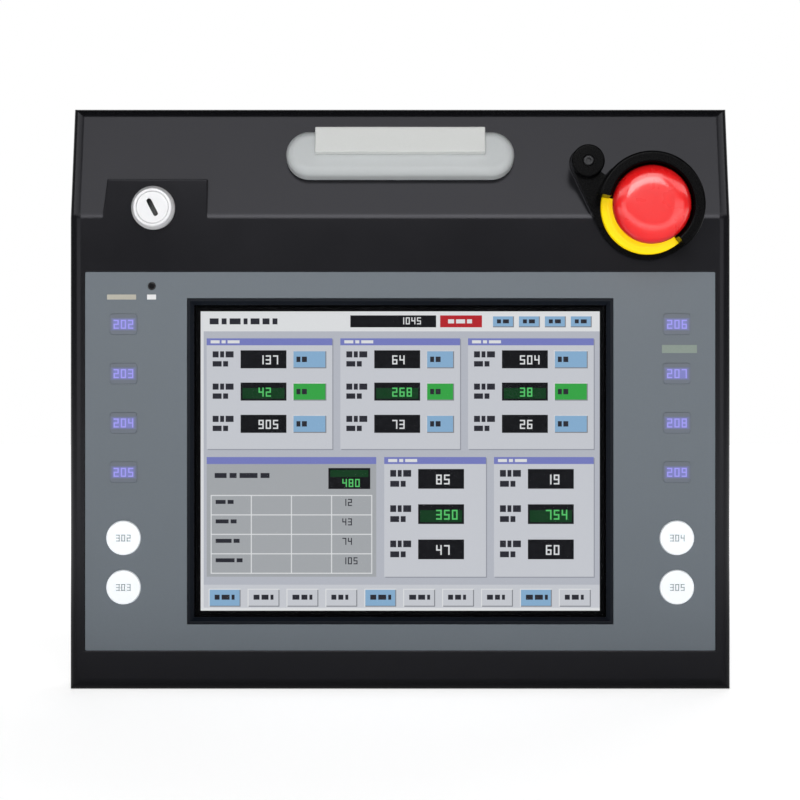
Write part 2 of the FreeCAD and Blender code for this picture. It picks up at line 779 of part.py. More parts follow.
def lean_on_head(body, rise):
    """Lay a body on the sloped head: its own Z becomes the slope's normal."""
    body.Placement = Placement(Vector(), Rotation(Vector(1, 0, 0), 45))
    bind(body, "Placement.Rotation.Angle", "90 - head_tilt")
    bind(body, "Placement.Base.y", f"{FRONT_Y} + ({rise}) * tan(head_tilt)")
    bind(body, "Placement.Base.z", f"{RIDGE} + ({rise})")


def make_head_boss():
    boss = piece("head_boss")
    lean_on_head(boss, "boss_rise")
    base = sketch(boss)
    rectangle(base, "0", "0", "boss_length", "boss_height", "boss_height / 2 - turn_gap")
    pad(boss, base, "boss_thick")
    edge_feature(boss, "Fillet", "boss_edge", lambda edge: lies_at(edge, number("boss_thick")))
    blank = piece("blank_plate")
    lean_on_head(blank, "boss_rise")
    block = sketch(blank, "-boss_thick")
    rectangle(block, "0", "blank_lift", "blank_length", "blank_height", "turn_gap * 10")
    pad(blank, block, "blank_thick")
    edge_feature(blank, "Fillet", "turn_gap * 10",
                 lambda edge: lies_at(edge, number("boss_thick + blank_thick")))


def make_stop_button():
    guard = piece("stop_guard", SWITCH_X, SWITCH_Z)
    guard_footprint(guard, "guard_flange", "lug_height", "lug_height / 2", inward=False)
    well = sketch(guard, "-guard_flange")
    circle(well, "0", "0", "guard_radius - guard_wall")
    pocket(guard, well, "lug_height", inward=False)
    # the raised part reaches inwards over the collar
    lip = "(guard_flange + collar_height + slide_gap)"
    turned(guard, [
        ("guard_radius - guard_wall", "guard_flange / 2"),
        ("guard_radius", "guard_flange / 2"),
        ("guard_radius", "guard_height", "guard_wall / 2"),
        ("guard_radius - guard_lip", "guard_height", "guard_wall / 2"),
        ("guard_radius - guard_lip", lip),
        ("guard_radius - guard_wall", lip),
    ], sweep=("guard_middle", "guard_sweep"))
    hole = sketch(guard)
    circle(hole, "0", "0", "stop_hole_radius")
    circle(hole, LUG_X, LUG_Y, "screw_radius + fit_gap")
    pocket(guard, hole, "lug_height * 2", inward=False)
    sink = sketch(guard, "-lug_height")
    circle(sink, LUG_X, LUG_Y, "screw_head_radius + fit_gap")
    pocket(guard, sink, "screw_head_height / 2")
    edge_feature(guard, "Fillet", "guard_wall / 3",
                 lambda edge: lies_at(edge, number("lug_height"))
                 and edge.Length > number("lug_radius * 4"))

    screw = piece("guard_screw", f"{SWITCH_X} + {LUG_X}", f"{SWITCH_Z} + {LUG_Y}")
    seat = "(lug_height - screw_head_height / 2)"
    turned(screw, [
        ("0", "-screw_bite + seat_gap"),
        ("screw_radius", "-screw_bite + seat_gap"),
        ("screw_radius", seat),
        ("screw_head_radius", seat),
        ("screw_head_radius", f"{seat} + screw_head_height", "screw_head_height / 3"),
        ("0", f"{seat} + screw_head_height"),
    ])
    socket = sketch(screw, f"-{seat} - screw_head_height")
    hexagon(socket, "0", "0", HEX_SOCKET)
    pocket(screw, socket, "screw_head_height / 2")

    collar_top = "(guard_flange + collar_height)"
    ledge = "(guard_flange + nut_rim / 2)"
    barrel = piece("stop_barrel", SWITCH_X, SWITCH_Z)
    bore = "(stop_stem_radius + turn_gap)"
    well = "(stop_neck - 2 * (stop_travel + stem_spare))"
    turned(barrel, [
        ("0", "-stop_tail"),
        ("stop_hole_radius - fit_gap", "-stop_tail"),
        ("stop_hole_radius - fit_gap", "guard_flange"),
        ("stop_hole_radius + nut_rim / 2", "guard_flange"),
        ("stop_hole_radius + nut_rim / 2", ledge),
        ("stop_stem_radius + nut_rim / 2", ledge),
        ("stop_stem_radius + nut_rim / 2", "stop_neck"),
        (bore, "stop_neck"),
        (bore, well),
        ("0", well),
    ])
    collar = piece("stop_collar", SWITCH_X, SWITCH_Z)
    turned(collar, [
        ("stop_hole_radius + nut_rim / 2 + fit_gap", "guard_flange"),
        ("collar_radius", "guard_flange"),
        ("collar_radius", f"{collar_top} - collar_height / 3", "collar_height / 4"),
        ("collar_radius - collar_height / 2", collar_top, "collar_height / 3"),
        ("stop_stem_radius + nut_rim / 2 + fit_gap", collar_top),
        ("stop_stem_radius + nut_rim / 2 + fit_gap", f"{ledge} + turn_gap"),
        ("stop_hole_radius + nut_rim / 2 + fit_gap", f"{ledge} + turn_gap"),
    ])
    stem = piece("stop_stem", SWITCH_X, SWITCH_Z)
    turned(stem, [
        ("0", f"{well} + stop_travel + stem_spare"),
        ("stop_stem_radius", f"{well} + stop_travel + stem_spare"),
        ("stop_stem_radius", "stop_head_height - seat_gap"),
        ("stop_stem_radius / 2", "stop_head_height - seat_gap"),
        ("stop_stem_radius / 2", "stop_head_height + stop_socket"),
        ("0", "stop_head_height + stop_socket"),
    ])
    head = piece("stop_head", SWITCH_X, SWITCH_Z)
    brow = "(stop_head_height + stop_head_depth)"
    turned(head, [
        ("stop_stem_radius / 2 + turn_gap", "stop_head_height"),
        ("stop_head_radius - stop_crown", "stop_head_height", "stop_crown / 2"),
        ("stop_head_radius", "stop_head_height + stop_crown * 1.5", "stop_crown"),
        ("stop_head_radius - stop_crown / 2", brow, "stop_shoulder"),
        ("0", brow),
        ("0", "stop_head_height + stop_socket + seat_gap"),
        ("stop_stem_radius / 2 + turn_gap", "stop_head_height + stop_socket + seat_gap"),
    ])
    panel_nut("stop_nut", SWITCH_X, "stop_hole_radius")
    contact_block("stop_contacts", SWITCH_X, "stop_tail", "stop_block_width", "stop_block_height")


def panel_nut(label, x, hole):
    body = piece(label, x, SWITCH_Z)
    ring = sketch(body, INNER)
    hexagon(ring, "0", "0", f"{hole} + nut_rim")
    circle(ring, "0", "0", f"{hole} - fit_gap + turn_gap")
    pad(body, ring, "nut_thick", inward=True)


def contact_block(label, x, tail, width, height):
    """A two-pole contact block clipped to a switch's tail, with a terminal slot each side."""
    body = piece(label, x, SWITCH_Z)
    block = sketch(body, tail)
    rectangle(block, "0", "0", width, height, "corner_round")
    pad(body, block, "contact_length", inward=True)
    slots = sketch(body, f"{tail} + contact_length")
    for hand in SIDES.values():
        for pole in SIDES.values():
            rectangle(slots, f"{hand} * {width} / 4", f"{pole} * {height} / 3",
                      f"{width} / 4", f"{height} / 6")
    pocket(body, slots, "contact_length / 3", inward=False)


def make_key_switch():
    lock_x = f"-{SWITCH_X}"
    barrel = piece("lock_barrel", lock_x, SWITCH_Z)
    bore = "(lock_rotor_radius + turn_gap)"
    dish = "(lock_bezel_height - lock_bezel_height / 4)"
    turned(barrel, [
        (bore, "-lock_tail"),
        ("lock_hole_radius - fit_gap", "-lock_tail"),
        ("lock_hole_radius - fit_gap", "0"),
        ("lock_bezel_radius", "0"),
        ("lock_bezel_radius", "lock_bezel_height / 2", "lock_bezel_height / 6"),
        ("(lock_face_radius + lock_bezel_radius) / 2", "lock_bezel_height", "lock_bezel_height / 8"),
        ("lock_face_radius + turn_gap", "lock_bezel_height"),
        ("lock_face_radius + turn_gap", dish),
        (bore, dish),
    ])
    rotor = piece("lock_rotor", lock_x, SWITCH_Z)
    turned(rotor, [
        ("0", "-lock_tail + seat_gap"),
        ("lock_rotor_radius", "-lock_tail + seat_gap"),
        ("lock_rotor_radius", f"{dish} + seat_gap"),
        ("lock_face_radius", f"{dish} + seat_gap"),
        ("lock_face_radius", "lock_bezel_height", "lock_bezel_height / 12"),
        ("0", "lock_bezel_height"),
    ])
    slot = sketch(rotor, "-lock_bezel_height - fit_gap", turn=(Vector(0, 0, 1), "slot_angle"))
    rectangle(slot, "0", "0", "slot_width", "slot_length", "slot_width / 2 - turn_gap")
    pocket(rotor, slot, "slot_depth")
    panel_nut("lock_nut", lock_x, "lock_hole_radius")
    contact_block("lock_contacts", lock_x, "lock_tail", "lock_block_width", "lock_block_height")


def hump_outline(plan, inset, radius):
    low, high = f"(hump_base + {inset})", f"({HUMP_TOP} - {inset})"
    split = f"(hump_split + {inset})"
    narrow, wide = f"(hump_half_width - {inset})", f"({HEAD_HALF} - {inset})"
    right = [(narrow, low), (narrow, split), (wide, split), (wide, high)]
    left = [(f"-{x}", z) for x, z in reversed(right)]
    outline(plan, [(x, z, radius) for x, z in right + left])


def box_screw_places():
    low, high = f"(hump_base + {SCREW_INSET})", f"({HUMP_TOP} - {SCREW_INSET})"
    foot, arm = f"(hump_half_width - {SCREW_INSET})", f"({HEAD_HALF} - {SCREW_INSET})"
    elbow = f"(hump_split + {SCREW_INSET})"
    return [(f"{s} * {x}", z) for s in SIDES.values()
            for x, z in ((foot, low), (arm, elbow), (arm, high), ("screw_middle_span", high))]


def make_rear_cover():
    body = piece("rear_cover")
    wings = sketch(body, "shell_depth")
    rectangle(wings, "0", f"{TOP} / 2", "case_width", TOP)
    pad(body, wings, "wing_depth", inward=True)
    wing_back = -number(WING_BACK)
    edge_feature(body, "Fillet", "rear_round", lambda edge: lies_at(edge, wing_back))
    hollow = sketch(body, "shell_depth")
    rectangle(hollow, "0", f"{TOP} / 2", "case_width - 2 * wall", f"{TOP} - 2 * wall")
    pocket(body, hollow, "wing_depth - wall")
    passage = sketch(body, WING_INNER)
    hump_outline(passage, "box_ledge", "wall")
    for x, z in box_screw_places():
        circle(passage, x, z, "screw_radius + fit_gap")
    pocket(body, passage, "wall * 1.5")
    towers = sketch(body, "shell_depth")
    for x, z in screw_places():
        circle(towers, x, z, "screw_boss_radius")
    pad(body, towers, "wing_depth - wall / 2", inward=True)
    bores = sketch(body, "shell_depth")
    for x, z in screw_places():
        circle(bores, x, z, "screw_radius + fit_gap")
    pocket(body, bores, "wing_depth * 1.5")
    sinks = sketch(body, WING_BACK)
    for x, z in screw_places():
        circle(sinks, x, z, "screw_head_radius + fit_gap")
    pocket(body, sinks, "screw_head_height", inward=False)
    for hand in SIDES.values():
        gate = sketch(body, WING_INNER)
        rectangle(gate, f"{hand} * {ENABLE_X}", "enable_rise", "boot_width + 2 * slide_gap",
                  "boot_height + 2 * slide_gap", "boot_corner + slide_gap")
        pocket(body, gate, "wall * 1.5")
    screws("cover_screws", screw_places(), f"({WING_BACK} - screw_head_height)",
           "wing_depth - screw_head_height + screw_bite")


def make_back_box():
    """The T-shaped box behind the cover, with the bracket inserts, the feet and the cable outlet."""
    body = piece("back_box")
    hump = sketch(body, WING_BACK)
    hump_outline(hump, "0", "hump_corner")
    pad(body, hump, HUMP_DEPTH, inward=True)
    hump_back = -number(HUMP_BACK)
    edge_feature(body, "Fillet", "rear_round", lambda edge: lies_at(edge, hump_back))
    room = sketch(body, WING_BACK)
    hump_outline(room, "wall", "hump_corner - wall")
    pocket(body, room, f"{HUMP_DEPTH} - wall")
    bosses = sketch(body, WING_BACK)
    for x, z in box_screw_places():
        circle(bosses, x, z, "screw_boss_radius")
    pad(body, bosses, "screw_boss_length", inward=True)
    pilots = sketch(body, WING_BACK)
    for x, z in box_screw_places():
        circle(pilots, x, z, "screw_radius + turn_gap")
    pocket(body, pilots, "screw_bite + seat_gap")
    lugs = sketch(body, f"{HUMP_BACK} - wall / 2")
    for x, z in INSERT_PLACES:
        circle(lugs, x, z, "insert_radius + wall")
    pad(body, lugs, "insert_length")
    sockets = sketch(body, HUMP_BACK)
    for x, z in INSERT_PLACES:
        circle(sockets, x, z, "insert_radius + turn_gap")
    pocket(body, sockets, "insert_length", inward=False)
    cups = sketch(body, HUMP_BACK)
    for x, z in FOOT_PLACES:
        circle(cups, x, z, "foot_radius + fit_gap")
    pocket(body, cups, "foot_sink", inward=False)
    outlet = sketch(body, plane="XZ_Plane")
    circle(outlet, "gland_offset", f"-{GLAND_DEPTH}", "gland_radius + turn_gap")
    pocket(body, outlet, "(hump_base + wall) * 2 + turn_gap", both_ways=True)
    screws("box_screws", box_screw_places(), WING_INNER, "wall + screw_bite", backward=True)

    inserts = piece("bracket_inserts")
    tubes = sketch(inserts, HUMP_BACK)
    for x, z in INSERT_PLACES:
        circle(tubes, x, z, "insert_radius")
        circle(tubes, x, z, "insert_bore")
    pad(inserts, tubes, "insert_length - turn_gap")
    feet = piece("rubber_feet")
    discs = sketch(feet, f"{HUMP_BACK} - foot_sink")
    for x, z in FOOT_PLACES:
        circle(discs, x, z, "foot_radius")
    pad(feet, discs, "foot_thick", inward=True)
    edge_feature(feet, "Fillet", "foot_thick / 4",
                 lambda edge: lies_at(edge, -number(f"{HUMP_BACK} - foot_sink + foot_thick")))


def make_enabling_switches():
    for name, hand in SIDES.items():
        boot = piece(f"enable_boot_{name}", f"{hand} * {ENABLE_X}", "enable_rise")
        flange_back = f"({WING_INNER} - seat_gap)"
        sleeve = sketch(boot, flange_back)
        rectangle(sleeve, "0", "0", "boot_width", "boot_height", "boot_corner")
        pad(boot, sleeve, "wall + seat_gap + boot_proud", inward=True)
        flange = sketch(boot, flange_back)
        rectangle(flange, "0", "0", "boot_width + 2 * boot_flange", "boot_height + 2 * boot_flange",
                  "boot_corner + boot_flange")
        pad(boot, flange, "boot_flange_thick")
        tip = -number(f"{WING_BACK} + boot_proud")
        edge_feature(boot, "Fillet", "boot_round", lambda edge: lies_at(edge, tip))
        switch = piece(f"enable_switch_{name}", f"{hand} * {ENABLE_X}", "enable_rise")
        back = f"({WING_INNER} - seat_gap - boot_flange_thick - enable_travel - slide_gap)"
        length = "(boot_height + 2 * boot_flange + 2 * fit_gap + 2 * enable_ear)"
        block = sketch(switch, back)
        rectangle(block, "0", "0", "boot_width", length, "corner_round")
        pad(switch, block, "enable_depth")
        ears = sketch(switch, back)
        for end in SIDES.values():
            rectangle(ears, "0", f"{end} * ({length} - enable_ear) / 2",
                      "boot_width", "enable_ear", "corner_round")
        pad(switch, ears, "seat_gap + boot_flange_thick + enable_travel + slide_gap", inward=True)


def hang_down(body):
    """Point a body's own Z down, at the gland's place under the hump."""
    body.Placement = Placement(Vector(), Rotation(Vector(1, 0, 0), 180))
    bind(body, "Placement.Base.x", "gland_offset")
    bind(body, "Placement.Base.y", f"{FRONT_Y} + {GLAND_DEPTH}")
    bind(body, "Placement.Base.z", "hump_base")


def make_gland():
    neck_end = "(gland_hex_height + gland_neck)"
    inside_end = "(wall + gland_lock_thick + gland_neck / 3)"
    neck = "(gland_radius - fit_gap)"
    pocket_radius = "(gland_seal_radius + turn_gap)"
    body = piece("gland_body")
    hang_down(body)
    turned(body, [
        ("gland_bore", f"-{inside_end}"),
        (neck, f"-{inside_end}"),
        (neck, neck_end),
        (pocket_radius, neck_end),
        (pocket_radius, "gland_hex_height"),
        ("gland_bore", "gland_hex_height"),
    ])
    nut = sketch(body)
    hexagon(nut, "0", "0", "gland_hex")
    circle(nut, "0", "0", "gland_radius - gland_radius / 6")
    pad(body, nut, "gland_hex_height")
    seal = piece("gland_seal")
    hang_down(seal)
    turned(seal, [
        ("gland_bore", "gland_hex_height"),
        ("gland_seal_radius", "gland_hex_height"),
        ("gland_seal_radius", neck_end),
        ("gland_bore", neck_end),
    ])
    cap = piece("gland_cap")
    hang_down(cap)
    cap_end = "(gland_hex_height + seat_gap + gland_cap_length)"
    turned(cap, [
        (f"{neck} + turn_gap", "gland_hex_height + seat_gap"),
        ("gland_hex", "gland_hex_height + seat_gap"),
        ("gland_hex", f"{cap_end} - gland_cap_length / 3", "gland_hex / 4"),
        ("gland_bore + wall", cap_end, "wall / 4"),
        ("gland_bore", cap_end),
        ("gland_bore", f"{neck_end} + seat_gap"),
        (f"{neck} + turn_gap", f"{neck_end} + seat_gap"),
    ])
    lock = piece("gland_locknut")
    hang_down(lock)
    ring = sketch(lock, "wall")
    hexagon(ring, "0", "0", "gland_hex")
    circle(ring, "0", "0", f"{neck} + turn_gap")
    pad(lock, ring, "gland_lock_thick", inward=True)


def check_document():
    for obj in doc.Objects:
        if "Invalid" in obj.State or "Error" in obj.State:
            raise RuntimeError(f"{obj.Label} failed: {obj.State}")
        before = getattr(obj, "BaseFeature", None)
        if before is not None and abs(obj.Shape.Volume - before.Shape.Volume) < 1e-3:
            raise RuntimeError(f"{obj.Label} changes nothing")
    for label, body in nodes.items():
        if body.Shape.isNull() or not body.Shape.isValid():
            raise RuntimeError(f"{label} has no valid shape")


make_front_shell()
make_seal()
make_overlay()
make_display()
make_boards()
make_keys()
make_head_boss()
make_stop_button()
make_key_switch()
make_rear_cover()
make_back_box()
make_enabling_switches()
make_gland()
doc.recompute()
check_document()

os.makedirs("parts", exist_ok=True)
for label, body in nodes.items():
    body.Shape.exportStep(f"parts/{label}.step")
    print(label, len(body.Shape.Solids), round(body.Shape.Volume, 1))
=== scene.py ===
import math
import bpy
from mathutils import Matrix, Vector


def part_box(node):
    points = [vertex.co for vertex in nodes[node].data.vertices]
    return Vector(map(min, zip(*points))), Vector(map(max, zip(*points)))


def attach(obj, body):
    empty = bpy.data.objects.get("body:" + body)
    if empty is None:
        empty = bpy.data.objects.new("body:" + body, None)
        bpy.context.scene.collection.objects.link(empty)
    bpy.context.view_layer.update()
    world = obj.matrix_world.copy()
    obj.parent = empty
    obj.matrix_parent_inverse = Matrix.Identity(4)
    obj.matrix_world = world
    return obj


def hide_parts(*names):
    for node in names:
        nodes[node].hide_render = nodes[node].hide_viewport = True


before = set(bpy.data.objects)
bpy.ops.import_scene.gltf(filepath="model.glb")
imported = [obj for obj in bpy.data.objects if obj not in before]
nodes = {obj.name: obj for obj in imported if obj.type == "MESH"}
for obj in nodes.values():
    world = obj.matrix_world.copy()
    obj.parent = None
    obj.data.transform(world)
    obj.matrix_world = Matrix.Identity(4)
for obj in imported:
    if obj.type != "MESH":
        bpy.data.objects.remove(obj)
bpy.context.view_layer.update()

scene = bpy.context.scene
print("frame loaded:", len(nodes), "nodes")

# the photograph: pixels across, metres for a pixel on the front, its middle, the camera's height and distance
photo = {"size": 800, "pixel": 0.000527, "middleX": 400.2, "middleY": 400.0, "height": 0.1529,
         "distance": 1.1}


def spot(x, y):
    return (x - photo["middleX"]) * photo["pixel"], photo["height"] + (photo["middleY"] - y) * photo["pixel"]


# shader node helpers

def add(tree, kind, values=None, **settings):
    made = tree.nodes.new(kind)
    for key, value in settings.items():
        setattr(made, key, value)
    for key, value in (values or {}).items():
        made.inputs[key].default_value = value
    return made


def wire(tree, source, output, target, socket):
    tree.links.new(source.outputs[output], target.inputs[socket])


def addGroup(name, inputs, outputs):
    group = bpy.data.node_groups.new(name, "ShaderNodeTree")
    for label, value in inputs.items():
        kind = "NodeSocketColor" if isinstance(value, tuple) else "NodeSocketFloat"
        group.interface.new_socket(label, in_out="INPUT", socket_type=kind).default_value = value
    for label, kind in outputs.items():
        group.interface.new_socket(label, in_out="OUTPUT", socket_type=kind)
    return group, group.nodes.new("NodeGroupInput"), group.nodes.new("NodeGroupOutput")


def makeGrain():
    group, start, end = addGroup("mouldGrain", {"Scale": 2500.0, "Depth": 0.2, "Edge": 0.0003},
                                 {"Normal": "NodeSocketVector"})
    coords = add(group, "ShaderNodeTexCoord")
    noise = add(group, "ShaderNodeTexNoise", {"Detail": 3.0, "Roughness": 0.6})
    edge = add(group, "ShaderNodeBevel", samples=8)
    bump = add(group, "ShaderNodeBump", {"Distance": 0.0001})
    wire(group, coords, "Object", noise, "Vector")
    wire(group, start, "Scale", noise, "Scale")
    wire(group, start, "Edge", edge, "Radius")
    wire(group, start, "Depth", bump, "Strength")
    wire(group, noise, "Fac", bump, "Height")
    wire(group, edge, "Normal", bump, "Normal")
    wire(group, bump, "Normal", end, "Normal")
    return group


def makeHandling():
    group, start, end = addGroup(
        "handling", {"Color": (0.5, 0.5, 0.5, 1.0), "Mottle": 0.08, "Low": 0.35, "High": 0.5, "Dust": 0.0},
        {"Color": "NodeSocketColor", "Roughness": "NodeSocketFloat"})
    coords = add(group, "ShaderNodeTexCoord")
    patch = add(group, "ShaderNodeTexNoise", {"Scale": 18.0, "Detail": 5.0, "Roughness": 0.65})
    speck = add(group, "ShaderNodeTexNoise", {"Scale": 900.0, "Detail": 2.0})
    wire(group, coords, "Object", patch, "Vector")
    wire(group, coords, "Object", speck, "Vector")
    rough = add(group, "ShaderNodeMapRange", {"From Min": 0.3, "From Max": 0.7})
    wire(group, patch, "Fac", rough, "Value")
    wire(group, start, "Low", rough, "To Min")
    wire(group, start, "High", rough, "To Max")
    wire(group, rough, "Result", end, "Roughness")
    both = add(group, "ShaderNodeMath", operation="MULTIPLY")
    wire(group, patch, "Fac", both, 0)
    wire(group, speck, "Fac", both, 1)
    shift = add(group, "ShaderNodeMath", {1: 0.25}, operation="SUBTRACT")  # the mean of the two noises
    wire(group, both, "Value", shift, 0)
    spread = add(group, "ShaderNodeMath", operation="MULTIPLY")
    wire(group, shift, "Value", spread, 0)
    wire(group, start, "Mottle", spread, 1)
    level = add(group, "ShaderNodeMath", {1: 1.0}, operation="ADD")
    wire(group, spread, "Value", level, 0)
    tone = add(group, "ShaderNodeHueSaturation")
    wire(group, level, "Value", tone, "Value")
    wire(group, start, "Color", tone, "Color")
    shape = add(group, "ShaderNodeNewGeometry")
    split = add(group, "ShaderNodeSeparateXYZ")
    wire(group, shape, "Normal", split, "Vector")
    up = add(group, "ShaderNodeMapRange", {"From Min": 0.4, "From Max": 1.0})  # dust lies on what faces up
    wire(group, split, "Z", up, "Value")
    lint = add(group, "ShaderNodeMapRange", {"From Min": 0.55, "From Max": 0.75})
    wire(group, speck, "Fac", lint, "Value")
    dusty = add(group, "ShaderNodeMath", operation="MULTIPLY")
    wire(group, up, "Result", dusty, 0)
    wire(group, lint, "Result", dusty, 1)
    amount = add(group, "ShaderNodeMath", operation="MULTIPLY")
    wire(group, dusty, "Value", amount, 0)
    wire(group, start, "Dust", amount, 1)
    mix = add(group, "ShaderNodeMix", {"B": (0.5, 0.48, 0.45, 1.0)}, data_type="RGBA")
    wire(group, amount, "Value", mix, "Factor")
    wire(group, tone, "Color", mix, "A")
    wire(group, mix, "Result", end, "Color")
    return group


def makePixels():
    group, start, end = addGroup(
        "pixelGrid", {"Color": (0.5, 0.5, 0.5, 1.0), "Pitch": 0.00033, "Line": 0.14, "Dark": 0.85},
        {"Color": "NodeSocketColor"})
    coords = add(group, "ShaderNodeTexCoord")
    split = add(group, "ShaderNodeSeparateXYZ")
    wire(group, coords, "Object", split, "Vector")
    cells = []
    for axis in ("X", "Z"):
        cell = add(group, "ShaderNodeMath", operation="DIVIDE")
        wire(group, split, axis, cell, 0)
        wire(group, start, "Pitch", cell, 1)
        part = add(group, "ShaderNodeMath", operation="FRACT")
        wire(group, cell, "Value", part, 0)
        lit = add(group, "ShaderNodeMath", operation="GREATER_THAN")
        wire(group, part, "Value", lit, 0)
        wire(group, start, "Line", lit, 1)
        cells.append(lit)
    both = add(group, "ShaderNodeMath", operation="MULTIPLY")
    wire(group, cells[0], "Value", both, 0)
    wire(group, cells[1], "Value", both, 1)
    level = add(group, "ShaderNodeMapRange", {"To Max": 1.0})
    wire(group, both, "Value", level, "Value")
    wire(group, start, "Dark", level, "To Min")
    tone = add(group, "ShaderNodeHueSaturation")
    wire(group, level, "Result", tone, "Value")
    wire(group, start, "Color", tone, "Color")
    wire(group, tone, "Color", end, "Color")
    return group


# painted shade: faces further back than Level get a darker copy of the colour, standing in for the shade
# inside a recess
def makeSunk():
    group, start, end = addGroup("paintedSlotShade", {"Color": (0.8, 0.8, 0.8, 1.0), "Level": 0.0, "Dark": 0.14},
                                 {"Color": "NodeSocketColor"})
    shape = add(group, "ShaderNodeNewGeometry")
    split = add(group, "ShaderNodeSeparateXYZ")
    wire(group, shape, "Position", split, "Vector")
    below = add(group, "ShaderNodeMath", operation="GREATER_THAN")
    wire(group, split, "Y", below, 0)
    wire(group, start, "Level", below, 1)
    tone = add(group, "ShaderNodeHueSaturation")
    wire(group, start, "Dark", tone, "Value")
    wire(group, start, "Color", tone, "Color")
    mix = add(group, "ShaderNodeMix", data_type="RGBA")
    wire(group, below, "Value", mix, "Factor")
    wire(group, start, "Color", mix, "A")
    wire(group, tone, "Color", mix, "B")
    wire(group, mix, "Result", end, "Color")
    return group


grain = makeGrain()
handling = makeHandling()
pixels = makePixels()
slotShade = makeSunk()
print("shader groups made")


toneCurve = {"shift": 0.055, "power": 2.4, "slope": 12.92, "toe": 10}  # from picture tones to light


def lightLevel(tone):
    share = tone / 255
    if tone <= toneCurve["toe"]:
        return share / toneCurve["slope"]
    return ((share + toneCurve["shift"]) / (1 + toneCurve["shift"])) ** toneCurve["power"]


def linear(color):
    return tuple(lightLevel(tone) for tone in color) + (1.0,)


def newMaterial(name):
    made = bpy.data.materials.new(name)
    made.use_nodes = True
    return made, made.node_tree, made.node_tree.nodes["Principled BSDF"]


def surface(name, look):
    made, tree, shader = newMaterial(name)
    shader.inputs["Metallic"].default_value = look.get("metal", 0.0)
    shader.inputs["Specular IOR Level"].default_value = look.get("shine", 0.5)
    shader.inputs["Specular Tint"].default_value = look.get("tint", (1.0, 1.0, 1.0, 1.0))
    shader.inputs["Coat Weight"].default_value = look.get("coat", 0.0)
    shader.inputs["Coat Roughness"].default_value = look.get("coatRough", 0.1)
    touch = add(tree, "ShaderNodeGroup", node_tree=handling)
    touch.inputs["Color"].default_value = linear(look["color"])
    touch.inputs["Mottle"].default_value = look.get("mottle", 0.25)
    touch.inputs["Low"].default_value = look["rough"][0]
    touch.inputs["High"].default_value = look["rough"][1]
    touch.inputs["Dust"].default_value = look.get("dust", 0.0)
    bumps = add(tree, "ShaderNodeGroup", node_tree=grain)
    bumps.inputs["Scale"].default_value = look["grain"][0]
    bumps.inputs["Depth"].default_value = look["grain"][1]
    bumps.inputs["Edge"].default_value = look.get("edge", 0.0003)
    color = touch
    if "sink" in look:
        color = add(tree, "ShaderNodeGroup", {"Level": look["sink"]}, node_tree=slotShade)
        wire(tree, touch, "Color", color, "Color")
    wire(tree, color, "Color", shader, "Base Color")
    wire(tree, touch, "Roughness", shader, "Roughness")
    wire(tree, bumps, "Normal", shader, "Normal")
    # emission: the backlight of the lit keys, and painted light where a look gives the stop collar or red
    # head a glow
    if "glow" in look:
        wire(tree, touch, "Color", shader, "Emission Color")
        shader.inputs["Emission Strength"].default_value = look["glow"]
    return made


def dress(material, *names):
    for name in names:
        nodes[name].data.materials.clear()
        nodes[name].data.materials.append(material)


# mouldings and hardware: rough and grain are pairs, low and high, and scale and depth
shellLook = {"color": (20, 20, 23), "rough": (0.18, 0.22), "grain": (2600.0, 0.03), "mottle": 0.2,
             "dust": 0.03, "shine": 0.25, "tint": (0.92, 0.92, 1.0, 1.0), "edge": 0.001}
dress(surface("shellBlack", shellLook), "front_shell")
coverLook = {"color": (30, 30, 33), "rough": (0.4, 0.5), "grain": (1800.0, 0.4), "mottle": 0.2, "dust": 0.05}
dress(surface("coverBlack", coverLook), "rear_cover", "back_box")
overlayLook = {"color": (101, 110, 118), "rough": (0.4, 0.5), "grain": (5200.0, 0.12), "mottle": 0.12,
               "edge": 0.0002}
overlayGrey = surface("overlayGrey", overlayLook)
dress(overlayGrey, "panel_overlay")
bezelLook = {"color": (16, 21, 29), "rough": (0.3, 0.38), "grain": (4200.0, 0.1), "mottle": 0.2,
             "shine": 0.14}
dress(surface("bezelBlack", bezelLook), "screen_bezel")
bossLook = {"color": (191, 195, 196), "rough": (0.4, 0.5), "grain": (3000.0, 0.15), "mottle": 0.08}
dress(surface("bossGrey", bossLook), "head_boss")
plateLook = dict(bossLook, color=(214, 216, 214))
dress(surface("plateGrey", plateLook), "blank_plate")
guardLook = {"color": (5, 5, 6), "rough": (0.22, 0.28), "grain": (2600.0, 0.05), "mottle": 0.2, "shine": 0.06}
guardBlack = surface("guardBlack", guardLook)
dress(guardBlack, "stop_guard")
# the glow is painted light: it lifts the yellow collar where the red head and the guard shade it
yellowLook = {"color": (255, 218, 2), "rough": (0.35, 0.45), "grain": (1500.0, 0.06), "mottle": 0.06,
              "shine": 0.3, "glow": 0.4}
dress(surface("stopYellow", yellowLook), "stop_collar")
chromeLook = {"color": (236, 236, 238), "rough": (0.3, 0.4), "grain": (1600.0, 0.08), "mottle": 0.1,
              "metal": 0.15}
dress(surface("lockChrome", chromeLook), "lock_barrel")
slotDepth = 0.0004  # below this the rotor is inside its key slot, and its colour is painted darker as shade
rotorLook = dict(chromeLook, sink=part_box("lock_rotor")[0].y + slotDepth)
dress(surface("lockRotor", rotorLook), "lock_rotor")
steelLook = {"color": (150, 152, 156), "rough": (0.28, 0.4), "grain": (2200.0, 0.12), "mottle": 0.2,
             "metal": 1.0}
dress(surface("steel", steelLook), "cover_screws", "box_screws", "carrier_plate", "carrier_screws",
      "lock_nut", "key_board_screws_left", "key_board_screws_right")
oxideLook = {"color": (46, 46, 48), "rough": (0.35, 0.45), "grain": (2200.0, 0.12), "mottle": 0.2,
             "metal": 0.6}
dress(surface("blackOxide", oxideLook), "guard_screw")
